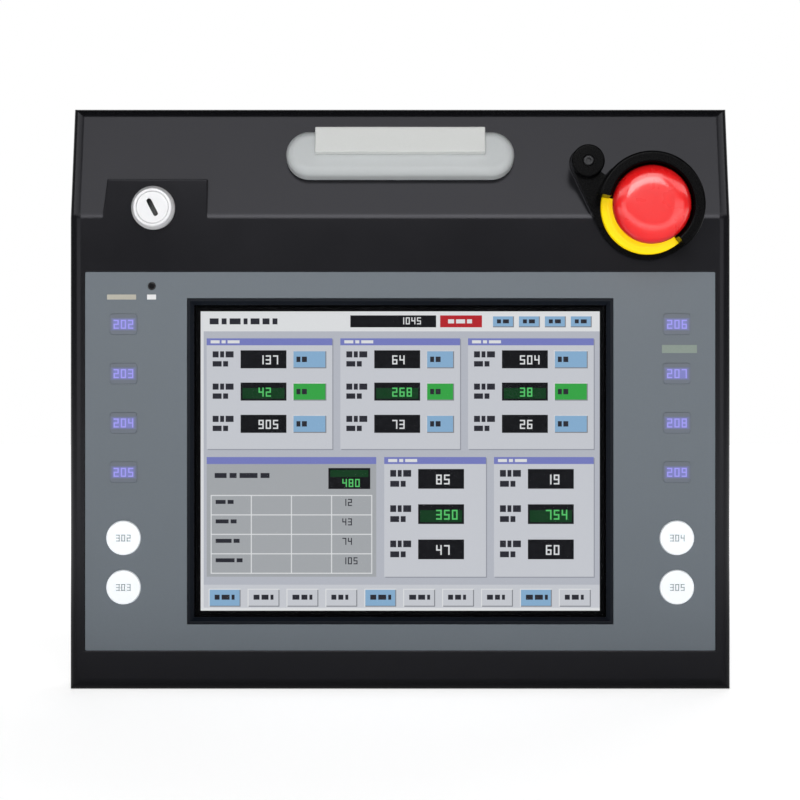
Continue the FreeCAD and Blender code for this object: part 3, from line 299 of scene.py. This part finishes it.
brassLook = {"color": (190, 150, 80), "rough": (0.25, 0.38), "grain": (1800.0, 0.1), "mottle": 0.2,
             "metal": 1.0}
dress(surface("brass", brassLook), "bracket_inserts", "board_standoffs")
rubberLook = {"color": (30, 30, 31), "rough": (0.65, 0.8), "grain": (1500.0, 0.4), "mottle": 0.3, "dust": 0.1}
dress(surface("rubberBlack", rubberLook), "shell_seal", "rubber_feet", "gland_seal", "enable_boot_left",
      "enable_boot_right")
glandLook = {"color": (33, 33, 35), "rough": (0.3, 0.4), "grain": (1200.0, 0.12), "mottle": 0.2}
dress(surface("glandBlack", glandLook), "gland_body", "gland_cap", "gland_locknut")
innerLook = {"color": (45, 45, 46), "rough": (0.5, 0.6), "grain": (1500.0, 0.2)}
dress(surface("innerBlack", innerLook), "stop_barrel", "stop_nut", "stop_contacts", "stop_stem",
      "lock_contacts", "enable_switch_left", "enable_switch_right")
boardLook = {"color": (24, 96, 52), "rough": (0.3, 0.4), "grain": (1200.0, 0.15), "mottle": 0.3}
dress(surface("boardGreen", boardLook), "main_board", "key_board_left", "key_board_right", "wire_terminal")
lensLook = {"color": (14, 14, 17), "rough": (0.06, 0.12), "grain": (800.0, 0.02), "coat": 0.6,
            "coatRough": 0.05}
dress(surface("lensDark", lensLook), "status_lens")
keyLook = {"color": (101, 109, 120), "rough": (0.38, 0.48), "grain": (5200.0, 0.12), "mottle": 0.12,
           "edge": 0.0002}
keyNames = [f"function_key_{i}" for i in range(1, 9)]
dress(surface("keyGrey", keyLook), *keyNames)
roundLook = {"color": (230, 234, 238), "rough": (0.3, 0.4), "grain": (2000.0, 0.05), "mottle": 0.1,
             "glow": 0.32}
roundNames = [f"round_key_{i}" for i in range(1, 5)]
dress(surface("keyWhite", roundLook), *roundNames)
print("mouldings dressed")


def addPiece(name, verts, faces, material, body):
    mesh = bpy.data.meshes.new(name)
    mesh.from_pydata(verts, [], faces)
    mesh.materials.append(material)
    made = bpy.data.objects.new(name, mesh)
    scene.collection.objects.link(made)
    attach(made, body)
    return made


# stop button: a smooth cap in place of the plain head, and a black sheet on the collar under the guard,
# painted shade where the guard shades the collar
# the faint glow is painted light on the red head, which holds no lamp
redLook = {"color": (250, 24, 26), "rough": (0.24, 0.3), "grain": (900.0, 0.03), "mottle": 0.06, "coat": 1.0,
           "coatRough": 0.1, "glow": 0.07}
stopCap = {"face": 6.0, "side": 2.5, "skirt": 0.0036, "tuck": 0.0024, "socket": 0.00355, "slack": 0.0001,
           "sharp": 40.0, "faceSteps": 32, "tuckSteps": 8, "turns": 128}  # face and side are curve powers
guardShadeSheet = {"rings": ((0.014, 0.0), (0.0213, 0.0), (0.023, 0.00095)), "thick": 0.00006, "from": -50.0,
             "sweep": 218.0, "steps": 72}  # each ring: radius and how far it lies behind the collar's face


def capProfile():
    low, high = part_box("stop_head")
    radius = (high.x - low.x) / 2
    waist = high.y - stopCap["skirt"]  # the widest place, in front of the tucked skirt
    points = []
    for i in range(1, stopCap["faceSteps"] + 1):
        t = math.pi / 2 * i / stopCap["faceSteps"]
        points.append((radius * math.sin(t) ** (2 / stopCap["face"]),
                       waist - (waist - low.y) * math.cos(t) ** (2 / stopCap["side"])))
    for i in range(1, stopCap["tuckSteps"] + 1):
        t = math.pi / 2 * i / stopCap["tuckSteps"]
        points.append((radius - stopCap["tuck"] * (1 - math.cos(t)),
                       waist + stopCap["skirt"] * math.sin(t)))
    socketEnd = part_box("stop_stem")[0].y - stopCap["slack"]
    points += [(stopCap["socket"], high.y), (stopCap["socket"], socketEnd)]
    return points, low.y, socketEnd


def makeCap():
    low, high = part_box("stop_head")
    middle = (low + high) / 2
    points, front, back = capProfile()
    turns = stopCap["turns"]
    verts = [(middle.x, front, middle.z), (middle.x, back, middle.z)]  # the poles of the face and the socket
    poles = len(verts)
    for radius, y in points:
        for i in range(turns):
            turn = 2 * math.pi * i / turns
            verts.append((middle.x + radius * math.cos(turn), y, middle.z + radius * math.sin(turn)))
    last = len(verts) - turns
    faces = []
    for i in range(turns):
        after = (i + 1) % turns
        faces.append((0, poles + i, poles + after))
        for ring in range(poles, last, turns):
            faces.append((ring + i, ring + turns + i, ring + turns + after, ring + after))
        faces.append((1, last + after, last + i))
    made = addPiece("stop_cap", verts, faces, surface("stopRed", redLook), "stop_head")
    made.data.shade_smooth()
    made.data.set_sharp_from_angle(angle=math.radians(stopCap["sharp"]))
    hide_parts("stop_head")


# a black sheet just in front of the collar's face under the guard: painted shade where the guard shades the
# yellow collar
def makeFilm():
    low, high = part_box("stop_collar")
    middle = (low + high) / 2
    verts, faces = [], []
    count = len(guardShadeSheet["rings"])
    for i in range(guardShadeSheet["steps"] + 1):
        turn = math.radians(guardShadeSheet["from"] + guardShadeSheet["sweep"] * i / guardShadeSheet["steps"])
        for radius, drop in guardShadeSheet["rings"]:
            verts.append((middle.x + radius * math.cos(turn), low.y + drop - guardShadeSheet["thick"],
                          middle.z + radius * math.sin(turn)))
        for ring in range(count * i, count * (i + 1) - 1) if i else ():
            faces.append((ring - count, ring - count + 1, ring + 1, ring))
    addPiece("guard_shade_sheet", verts, faces, guardBlack, "panel")


makeCap()
makeFilm()
print("stop button dressed")


# display
glassLook = {"rough": (0.12, 0.2), "clear": (0.97, 0.98, 0.98, 1.0), "bend": 1.25}
litLook = {"Base Color": (0.01, 0.01, 0.012, 1.0), "Roughness": 0.5, "Specular IOR Level": 0.02}
maskLook = {"color": (5, 5, 7), "rough": (0.3, 0.4), "grain": (2000.0, 0.05), "shine": 0.04}


def glassMaterial():
    made, tree, shader = newMaterial("touchGlass")
    shader.inputs["Base Color"].default_value = (0.0, 0.0, 0.0, 1.0)
    low, high = glassLook["rough"]
    touch = add(tree, "ShaderNodeGroup", {"Low": low, "High": high}, node_tree=handling)
    wire(tree, touch, "Roughness", shader, "Roughness")
    clear = add(tree, "ShaderNodeBsdfTransparent", {"Color": glassLook["clear"]})
    sheen = add(tree, "ShaderNodeFresnel", {"IOR": glassLook["bend"]})
    side = add(tree, "ShaderNodeNewGeometry")
    front = add(tree, "ShaderNodeMath", {0: 1.0}, operation="SUBTRACT")
    wire(tree, side, "Backfacing", front, 1)
    amount = add(tree, "ShaderNodeMath", operation="MULTIPLY")  # no sheen on the way out of the glass
    wire(tree, sheen, "Fac", amount, 0)
    wire(tree, front, "Value", amount, 1)
    mix = add(tree, "ShaderNodeMixShader")
    wire(tree, amount, "Value", mix, "Fac")
    wire(tree, clear, "BSDF", mix, 1)
    wire(tree, shader, "BSDF", mix, 2)
    wire(tree, mix, "Shader", tree.nodes["Material Output"], "Surface")
    return made


def litMaterial(name, color, strength, dark):
    made, tree, shader = newMaterial(name)
    for socket, value in litLook.items():
        shader.inputs[socket].default_value = value
    shader.inputs["Emission Strength"].default_value = strength
    dots = add(tree, "ShaderNodeGroup", {"Color": linear(color), "Dark": dark}, node_tree=pixels)
    wire(tree, dots, "Color", shader, "Emission Color")
    return made


dress(glassMaterial(), "touch_glass")
dress(surface("displayMask", maskLook), "display_cell", "display_tray")

quads = {}  # corners and faces of each flat piece, until it is built


def quad(store, x0, z0, x1, z1, y):
    verts, faces = quads.setdefault(store, ([], []))
    first = len(verts)
    verts += [(x0, y, z0), (x1, y, z0), (x1, y, z1), (x0, y, z1)]
    faces.append(tuple(range(first, first + 4)))


def build(store, material, body):
    verts, faces = quads.pop(store)
    return addPiece(store, verts, faces, material, body)


# the display's page is laid out in columns and rows of the lit area, in layers that rise towards the glass
screen = {"width": 0.2112, "height": 0.1584, "columns": 400, "rows": 300, "layer": 0.00003,
          "strength": 0.88, "dark": 0.85}
screenColors = {
    "field": (196, 198, 208), "title": (240, 240, 242), "ink": (44, 44, 52), "red": (196, 36, 44),
    "black": (12, 12, 14), "pane": (216, 217, 224), "header": (128, 134, 204), "sky": (146, 186, 222),
    "green": (58, 176, 74), "deepGreen": (10, 62, 26), "table": (178, 180, 184), "line": (138, 140, 146),
    "lime": (96, 214, 116), "shade": (158, 160, 170),
}
cellLow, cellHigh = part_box("display_cell")
screenMiddle = (cellLow + cellHigh) / 2


def tile(color, u0, v0, u1, v1, layer):
    left = screenMiddle.x - screen["width"] / 2
    top = screenMiddle.z + screen["height"] / 2
    sx, sz = screen["width"] / screen["columns"], screen["height"] / screen["rows"]
    quad("screen_" + color, left + u0 * sx, top - v1 * sz, left + u1 * sx, top - v0 * sz,
         cellLow.y - screen["layer"] * (layer + 1))


def bars(color, u, v, label, layer, scale=1.0):
    for length in label["bars"]:
        tile(color, u, v, u + length, v + label["tall"] * scale, layer)
        u += length + label["gap"]


segments = {  # seven-segment digits: left, top, right and low edge of each bar, in the digit's cell
    "a": (0, 0, 4, 1), "b": (3, 0, 4, 4), "c": (3, 3, 4, 7), "d": (0, 6, 4, 7), "e": (0, 3, 1, 7),
    "f": (0, 0, 1, 4), "g": (0, 3, 4, 4),
}
digits = ("abcdef", "bc", "abged", "abgcd", "fgbc", "afgcd", "afgedc", "abc", "abcdefg", "abcdfg")
digitCell = {"wide": 4, "tall": 7, "step": 5.6}


def digitBars(value, height):
    unit = height / digitCell["tall"]
    for place, digit in enumerate(str(value)):
        for part in digits[int(digit)]:
            left, top, right, low = segments[part]
            shift = digitCell["step"] * place
            yield (left + shift) * unit, top * unit, (right + shift) * unit, low * unit


def number(color, u, v, value, height, layer):
    for left, top, right, low in digitBars(value, height):
        tile(color, u + left, v + top, u + right, v + low, layer)


def button(color, u0, v0, u1, v1):
    tile("title", u0, v0, u1, v1, 2)
    tile("line", u0 + 1, v0 + 1, u1, v1, 3)
    tile(color, u0 + 1, v0 + 1, u1 - 1, v1 - 1, 4)


paneLook = {  # sizes in a row are shares of the row's window
    "header": 7, "titleLeft": 4, "titleTop": 2, "title": {"bars": (9, 4, 12), "tall": 3, "gap": 2},
    "rowsTop": 12, "spare": 14, "window": 0.56, "windowLeft": 34, "windowRight": 80,
    "glowInset": 2, "glowTop": 0.3, "numberLeft": 52, "numberTop": 0.28, "numberTall": 0.5,
    "labelLeft": 6, "labelTop": 1, "label": {"bars": (6, 4, 8), "tall": 0.34, "gap": 1.5},
    "noteTop": 0.6, "note": {"bars": (9, 5), "tall": 0.3, "gap": 1.5},
    "keyLeft": 86, "keyInset": 6, "keyNeeds": 104, "legendLeft": 90, "legendTop": 0.35,
    "legend": {"bars": (4, 5), "tall": 0.3, "gap": 1.5},
}


def pane(u0, v0, u1, v1, values):
    look = paneLook
    tile("shade", u0 + 1, v0 + 1, u1 + 1, v1 + 1, 1)
    tile("pane", u0, v0, u1, v1, 2)
    tile("header", u0, v0, u1, v0 + look["header"], 3)
    bars("title", u0 + look["titleLeft"], v0 + look["titleTop"], look["title"], 4)
    step = (v1 - v0 - look["spare"]) / len(values)
    tall = step * look["window"]
    for row, value in enumerate(values):
        v = v0 + look["rowsTop"] + row * step
        left, right = u0 + look["windowLeft"], u0 + look["windowRight"]
        tile("black", left, v, right, v + tall, 3)
        if row % 2:
            tile("deepGreen", left + look["glowInset"], v + tall * look["glowTop"],
                 right - look["glowInset"], v + tall - look["glowInset"], 4)
        number("lime" if row % 2 else "title", u0 + look["numberLeft"], v + tall * look["numberTop"], value,
               tall * look["numberTall"], 5)
        bars("ink", u0 + look["labelLeft"], v + look["labelTop"], look["label"], 3, tall)
        bars("ink", u0 + look["labelLeft"], v + tall * look["noteTop"], look["note"], 3, tall)
        if u1 - u0 > look["keyNeeds"]:
            button("green" if row == 1 else "sky", u0 + look["keyLeft"], v, u1 - look["keyInset"], v + tall)
            bars("ink", u0 + look["legendLeft"], v + tall * look["legendTop"], look["legend"], 5, tall)


tableLook = {
    "header": 7, "window": (48, 11, 6, 32), "glow": (46, 13, 8, 20),
    "total": 480, "totalTop": 22, "totalTall": 8,
    "titleLeft": 8, "titleTop": 16, "title": {"bars": (12, 7, 18, 9), "tall": 5, "gap": 3},
    "gridTop": 38, "inset": 4, "line": 1, "columns": 4, "rows": 4, "numberRight": 34, "numberTop": 4,
    "numberTall": 7, "firstNumber": 12, "numberStep": 31, "labelLeft": 9, "labelTop": 5, "labelFirst": 10,
    "labelGrow": 3, "labelLast": 6, "labelTall": 4, "labelGap": 2,
}  # window and glow: from the right, top, from the right, low


def drawTable(u0, v0, u1, v1):
    look = tableLook
    tile("table", u0, v0, u1, v1, 1)
    tile("header", u0, v0, u1, v0 + look["header"], 2)
    for color, part, layer in (("black", "window", 2), ("deepGreen", "glow", 3)):
        left, top, right, low = look[part]
        tile(color, u1 - left, v0 + top, u1 - right, v0 + low, layer)
    number("lime", u1 - look["numberRight"], v0 + look["totalTop"], look["total"], look["totalTall"], 3)
    bars("ink", u0 + look["titleLeft"], v0 + look["titleTop"], look["title"], 2)
    top, low = v0 + look["gridTop"], v1 - look["inset"]
    left, right = u0 + look["inset"], u1 - look["inset"]
    for i in range(look["rows"] + 1):
        v = top + (low - top) * i / look["rows"]
        tile("title", left, v, right, v + look["line"], 2)
        if i < look["rows"]:
            label = {"bars": (look["labelFirst"] + i * look["labelGrow"], look["labelLast"]),
                     "tall": look["labelTall"], "gap": look["labelGap"]}
            bars("ink", u0 + look["labelLeft"], v + look["labelTop"], label, 2)
            number("ink", u1 - look["numberRight"], v + look["numberTop"],
                   look["firstNumber"] + look["numberStep"] * i, look["numberTall"], 2)
    for i in range(look["columns"] + 1):
        u = left + (right - look["line"] - left) * i / look["columns"]
        tile("title", u, top, u + look["line"], low, 2)


page = {
    "titleBar": 20, "footer": 274, "edge": 3,
    "name": (9, 7), "nameBars": {"bars": (9, 5, 11, 4, 9, 7, 5), "tall": 6, "gap": 3},
    "clock": (150, 4, 236, 16), "time": (200, 6, 1045, 7), "alarm": (240, 4, 282, 16), "alarmText": (248, 8),
    "alarmBars": {"bars": (6, 9, 5), "tall": 4, "gap": 2},
    "panes": {(6, 27, 132, 138): (137, 42, 905), (140, 27, 260, 138): (64, 268, 73),
              (268, 27, 394, 138): (504, 38, 26), (184, 146, 286, 266): (85, 350, 47),
              (294, 146, 394, 266): (19, 754, 60)},  # left, top, right and low edge, and the values shown
    "table": (6, 146, 176, 266),
}
titleKeys = {"count": 4, "left": 292, "step": 26, "wide": 22, "top": 4, "low": 16, "textLeft": 5,
             "textTop": 8, "text": {"bars": (4, 6), "tall": 4, "gap": 2}}
footKeys = {"count": 10, "left": 8, "step": 39, "wide": 32, "top": 278, "low": 296, "textLeft": 6,
            "textTop": 284, "textBars": (5, 8, 3), "textTall": 5, "textGap": 2, "blueEvery": 4}


def drawScreen():
    wide, high = screen["columns"], screen["rows"]
    tile("field", 0, 0, wide, high, 0)
    tile("title", 0, 0, wide, page["titleBar"], 1)
    bars("ink", *page["name"], page["nameBars"], 2)
    tile("black", *page["clock"], 2)
    number("title", *page["time"], 3)
    tile("red", *page["alarm"], 2)
    bars("title", *page["alarmText"], page["alarmBars"], 3)
    for i in range(titleKeys["count"]):
        u = titleKeys["left"] + i * titleKeys["step"]
        button("sky", u, titleKeys["top"], u + titleKeys["wide"], titleKeys["low"])
        bars("ink", u + titleKeys["textLeft"], titleKeys["textTop"], titleKeys["text"], 5)
    for box, values in page["panes"].items():
        pane(*box, values)
    drawTable(*page["table"])
    tile("pane", 0, page["footer"], wide, high, 1)
    tile("title", 0, page["titleBar"], page["edge"], high, 2)
    tile("title", page["edge"], high - page["edge"], wide, high, 2)
    for i in range(footKeys["count"]):
        u = footKeys["left"] + i * footKeys["step"]
        color = "pane" if i % footKeys["blueEvery"] else "sky"
        button(color, u, footKeys["top"], u + footKeys["wide"], footKeys["low"])
        first, second, third = footKeys["textBars"]
        text = {"bars": (first + i % 3, second - i % 4, third), "tall": footKeys["textTall"],
                "gap": footKeys["textGap"]}  # no two neighbours alike
        bars("ink", u + footKeys["textLeft"], footKeys["textTop"], text, 5)


drawScreen()
for color, value in screenColors.items():
    lit = litMaterial("lit_" + color, value, screen["strength"], screen["dark"])
    build("screen_" + color, lit, "panel")
print("display drawn")


# legends on the keys and the overlay
legend = {"lift": 0.00004, "width": 0.0146, "height": 0.0072, "keyNumber": 0.0048, "keyFirst": 202,
          "roundNumber": 0.0036, "roundFirst": 302}
keyGlow = {"color": (96, 88, 214), "strength": 0.5, "full": 0.28, "none": 0.5}  # shares of the lit patch
keyInk = {"color": (172, 168, 252), "strength": 0.9, "dark": 0.92}
printLook = {"rough": (0.5, 0.6), "grain": (4000.0, 0.05)}
prints = {  # stripes on the overlay, in the photograph's pixels: left, top, right, low
    "print_white": {"finish": "whitePrint", "color": (236, 236, 236), "pixels": (147, 294.5, 156, 299.5)},
    "print_cream": {"finish": "creamPrint", "color": (186, 182, 168), "pixels": (107, 294.5, 136, 299.5)},
    "print_pale": {"finish": "palePrint", "color": (134, 148, 138), "pixels": (662, 345, 697, 353)},
}
# the gap that shows round each key's face
gapLine = {"lip": 0.0012, "corner": 0.0012, "gap": 0.00025, "slack": 0.00002, "steps": 6}


def glowMaterial():
    made = surface("keyViolet", keyLook)
    tree = made.node_tree
    shader = tree.nodes["Principled BSDF"]
    shader.inputs["Emission Strength"].default_value = keyGlow["strength"]
    coords = add(tree, "ShaderNodeTexCoord")
    split = add(tree, "ShaderNodeSeparateXYZ")
    wire(tree, coords, "Generated", split, "Vector")
    edges = []
    for axis in ("X", "Z"):
        side = add(tree, "ShaderNodeMath", {1: 0.5}, operation="SUBTRACT")  # from the patch's middle
        wire(tree, split, axis, side, 0)
        edge = add(tree, "ShaderNodeMath", operation="ABSOLUTE")
        wire(tree, side, "Value", edge, 0)
        edges.append(edge)
    near = add(tree, "ShaderNodeMath", operation="MAXIMUM")
    wire(tree, edges[0], "Value", near, 0)
    wire(tree, edges[1], "Value", near, 1)
    fade = add(tree, "ShaderNodeMapRange",
               {"From Min": keyGlow["full"], "From Max": keyGlow["none"], "To Min": 1.0, "To Max": 0.0},
               interpolation_type="SMOOTHSTEP")
    wire(tree, near, "Value", fade, "Value")
    mix = add(tree, "ShaderNodeMix", data_type="RGBA")
    mix.inputs["A"].default_value = (0.0, 0.0, 0.0, 1.0)
    mix.inputs["B"].default_value = linear(keyGlow["color"])
    wire(tree, fade, "Result", mix, "Factor")
    wire(tree, mix, "Result", shader, "Emission Color")
    return made


def keyNumber(store, middle, value, height, y):
    unit = height / digitCell["tall"]
    wide = unit * (digitCell["step"] * (len(str(value)) - 1) + digitCell["wide"])
    x, z = middle.x - wide / 2, middle.z + height / 2
    for left, top, right, low in digitBars(value, height):
        quad(store, x + left, z - low, x + right, z - top, y)


def roundedLoop(middle, halfW, halfH, y):
    corner, steps = gapLine["corner"], gapLine["steps"]
    points = []
    for quarter, (side, rise) in enumerate(((1, 1), (-1, 1), (-1, -1), (1, -1))):
        for step in range(steps + 1):
            turn = math.pi / 2 * (quarter + step / steps)
            points.append((middle.x + side * (halfW - corner) + corner * math.cos(turn), y,
                           middle.z + rise * (halfH - corner) + corner * math.sin(turn)))
    return points


def gapRing(store, name, y):
    low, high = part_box(name)
    middle, half = (low + high) / 2, (high - low) / 2
    verts, faces = quads.setdefault(store, ([], []))
    first = len(verts)
    for reach in (gapLine["slack"], gapLine["gap"]):
        verts += roundedLoop(middle, half.x - gapLine["lip"] + reach, half.z - gapLine["lip"] + reach, y)
    count = (len(verts) - first) // 2
    for i in range(count):
        after = (i + 1) % count
        faces.append((first + i, first + after, first + count + after, first + count + i))


violet = glowMaterial()
violetInk = litMaterial("keyVioletInk", keyInk["color"], keyInk["strength"], keyInk["dark"])
printInk = surface("printInk", dict(printLook, color=(176, 188, 190)))

for index, name in enumerate(keyNames):
    low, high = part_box(name)
    middle = (low + high) / 2
    y = low.y - legend["lift"]
    halfW, halfH = legend["width"] / 2, legend["height"] / 2
    quad(name + "_lit", middle.x - halfW, middle.z - halfH, middle.x + halfW, middle.z + halfH, y)
    build(name + "_lit", violet, name)
    keyNumber(name + "_mark", middle, legend["keyFirst"] + index, legend["keyNumber"], y - legend["lift"])
    build(name + "_mark", violetInk, name)

for index, name in enumerate(roundNames):
    low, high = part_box(name)
    middle = (low + high) / 2
    y = low.y - legend["lift"]
    keyNumber(name + "_mark", middle, legend["roundFirst"] + index, legend["roundNumber"], y)
    build(name + "_mark", printInk, name)

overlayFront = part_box("panel_overlay")[0].y
for name in keyNames:
    gapRing("key_gaps", name, overlayFront + gapLine["slack"])
build("key_gaps", overlayGrey, "panel")
for name, stripe in prints.items():
    x0, y0, x1, y1 = stripe["pixels"]
    (left, top), (right, low) = spot(x0, y0), spot(x1, y1)
    quad(name, left, low, right, top, overlayFront - legend["lift"])
    build(name, surface(stripe["finish"], dict(printLook, color=stripe["color"])), "panel")
print("legends placed")


# stage
floorLook = {"color": (244, 244, 244), "rough": (0.6, 0.7), "grain": (60.0, 0.02), "mottle": 0.02}
floorSize = 12
floorGlow = {"From Min": 0.3, "From Max": 1.2, "To Min": 0.7, "To Max": 1.0}  # whiter further from the panel
floorMirror = {"From Min": 0.5, "From Max": 1.2}  # the near floor shows in a mirror as it is lit
skyLevel = {"From Min": 0.1, "From Max": 0.7, "To Min": 0.11, "To Max": 0.02}  # dimmer overhead
skyMirror = {"From Min": 0.6, "From Max": 0.95}  # a mirror shows white only from behind the panel
lamps = {
    "headBox": {"place": (0.0, -2.0, 1.56), "aim": (0, 0, 0.28), "size": (1.7, 0.8), "power": 12},
    "ridgeStrip": {"place": (0.0, -2.2, 0.93), "aim": (0, 0, 0.25), "size": (1.2, 0.5), "power": 12.5},
    "frontFill": {"place": (0.0, -1.9, 0.18), "aim": (0, 0, 0.15), "size": (1.6, 0.3), "power": 2.5,
                  "mirrored": False},
    "floorCard": {"place": (0.0, -0.95, 0.005), "aim": (0, -0.95, 1), "size": (1.8, 1.8), "power": 7.5,
                  "mirrored": False},
    "rearBox": {"place": (0.5, 1.9, 1.3), "aim": (0, 0, 0.15), "size": (1.6, 1.0), "power": 14,
                "mirrored": False},
}
sideLamps = {  # one on each side, only for the sheen on the head's rounded sides and on the stop button
    "sideCard": {"place": (2.1, -1.3, 1.45), "aim": (0, 0, 0.25), "size": (3.6, 0.8), "power": 16,
                 "lights": False},
    "lowCard": {"place": (1.3, -2.0, 0.3), "aim": (0, 0, 0.25), "size": (1.4, 0.5), "power": 2.8,
                "lights": False},
}
sensorWidth = 36.0


def seenLevel(tree, mirrored, plain=None):
    path = add(tree, "ShaderNodeLightPath")
    bent = add(tree, "ShaderNodeMath", operation="MAXIMUM")
    wire(tree, path, "Is Glossy Ray", bent, 0)
    wire(tree, path, "Is Transmission Ray", bent, 1)
    shown = add(tree, "ShaderNodeMath", operation="MULTIPLY")
    wire(tree, bent, "Value", shown, 0)
    wire(tree, mirrored, "Result", shown, 1)
    seen = add(tree, "ShaderNodeMath", operation="MAXIMUM")
    wire(tree, shown, "Value", seen, 1)
    if plain:
        straight = add(tree, "ShaderNodeMath", operation="MULTIPLY")
        wire(tree, path, "Is Camera Ray", straight, 0)
        wire(tree, plain, "Result", straight, 1)
        wire(tree, straight, "Value", seen, 0)
    else:
        wire(tree, path, "Is Camera Ray", seen, 0)  # plain white to the camera
    return seen


def floorMaterial():
    made = surface("floorPale", floorLook)
    tree = made.node_tree
    shader = tree.nodes["Principled BSDF"]
    shader.inputs["Emission Color"].default_value = (1.0, 1.0, 1.0, 1.0)
    coords = add(tree, "ShaderNodeTexCoord")
    reach = add(tree, "ShaderNodeVectorMath", operation="LENGTH")
    wire(tree, coords, "Object", reach, 0)
    plain = add(tree, "ShaderNodeMapRange", floorGlow)
    wire(tree, reach, "Value", plain, "Value")
    mirrored = add(tree, "ShaderNodeMapRange", floorMirror)
    wire(tree, reach, "Value", mirrored, "Value")
    wire(tree, seenLevel(tree, mirrored, plain), "Value", shader, "Emission Strength")
    return made


def makeFloor():
    bpy.ops.mesh.primitive_plane_add(size=floorSize)
    floor = bpy.context.object
    floor.name = "floor"
    floor.data.materials.append(floorMaterial())


def softbox(name, lamp):
    data = bpy.data.lights.new(name, "AREA")
    data.shape = "RECTANGLE"
    data.size, data.size_y = lamp["size"]
    data.energy = lamp["power"]
    made = bpy.data.objects.new(name, data)
    made.location = lamp["place"]
    made.rotation_euler = (Vector(lamp["aim"]) - made.location).to_track_quat("-Z", "Y").to_euler()
    made.visible_glossy = lamp.get("mirrored", True)
    made.visible_diffuse = lamp.get("lights", True)
    made.visible_camera = False
    scene.collection.objects.link(made)


def makeSky():
    world = bpy.data.worlds.new("studio")
    scene.world = world
    world.use_nodes = True
    tree = world.node_tree
    backdrop = tree.nodes["Background"]
    backdrop.inputs["Color"].default_value = (1.0, 1.0, 1.0, 1.0)
    coords = add(tree, "ShaderNodeTexCoord")
    split = add(tree, "ShaderNodeSeparateXYZ")
    wire(tree, coords, "Generated", split, "Vector")
    ambient = add(tree, "ShaderNodeMapRange", skyLevel)
    wire(tree, split, "Z", ambient, "Value")
    behind = add(tree, "ShaderNodeMapRange", skyMirror)
    wire(tree, split, "Y", behind, "Value")
    level = add(tree, "ShaderNodeMapRange", {"To Max": 1.0})
    wire(tree, seenLevel(tree, behind), "Value", level, "Value")
    wire(tree, ambient, "Result", level, "To Min")
    wire(tree, level, "Result", backdrop, "Strength")


def makeCamera():
    data = bpy.data.cameras.new("camera")
    data.sensor_width = sensorWidth
    data.lens = sensorWidth * photo["distance"] / (photo["size"] * photo["pixel"])
    camera = bpy.data.objects.new("camera", data)
    center = photo["size"] / 2
    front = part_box("front_shell")[0].y
    camera.location = (spot(center, center)[0], front - photo["distance"], photo["height"])
    camera.rotation_euler = (math.radians(90), 0, 0)
    scene.collection.objects.link(camera)
    scene.camera = camera


makeFloor()
for name, lamp in lamps.items():
    softbox(name, lamp)
for name, lamp in sideLamps.items():
    x, y, z = lamp["place"]
    for side in (-1, 1):
        softbox(f"{name}{side}", dict(lamp, place=(side * x, y, z)))
makeSky()
makeCamera()
scene.view_settings.view_transform = "Standard"
print("stage set")
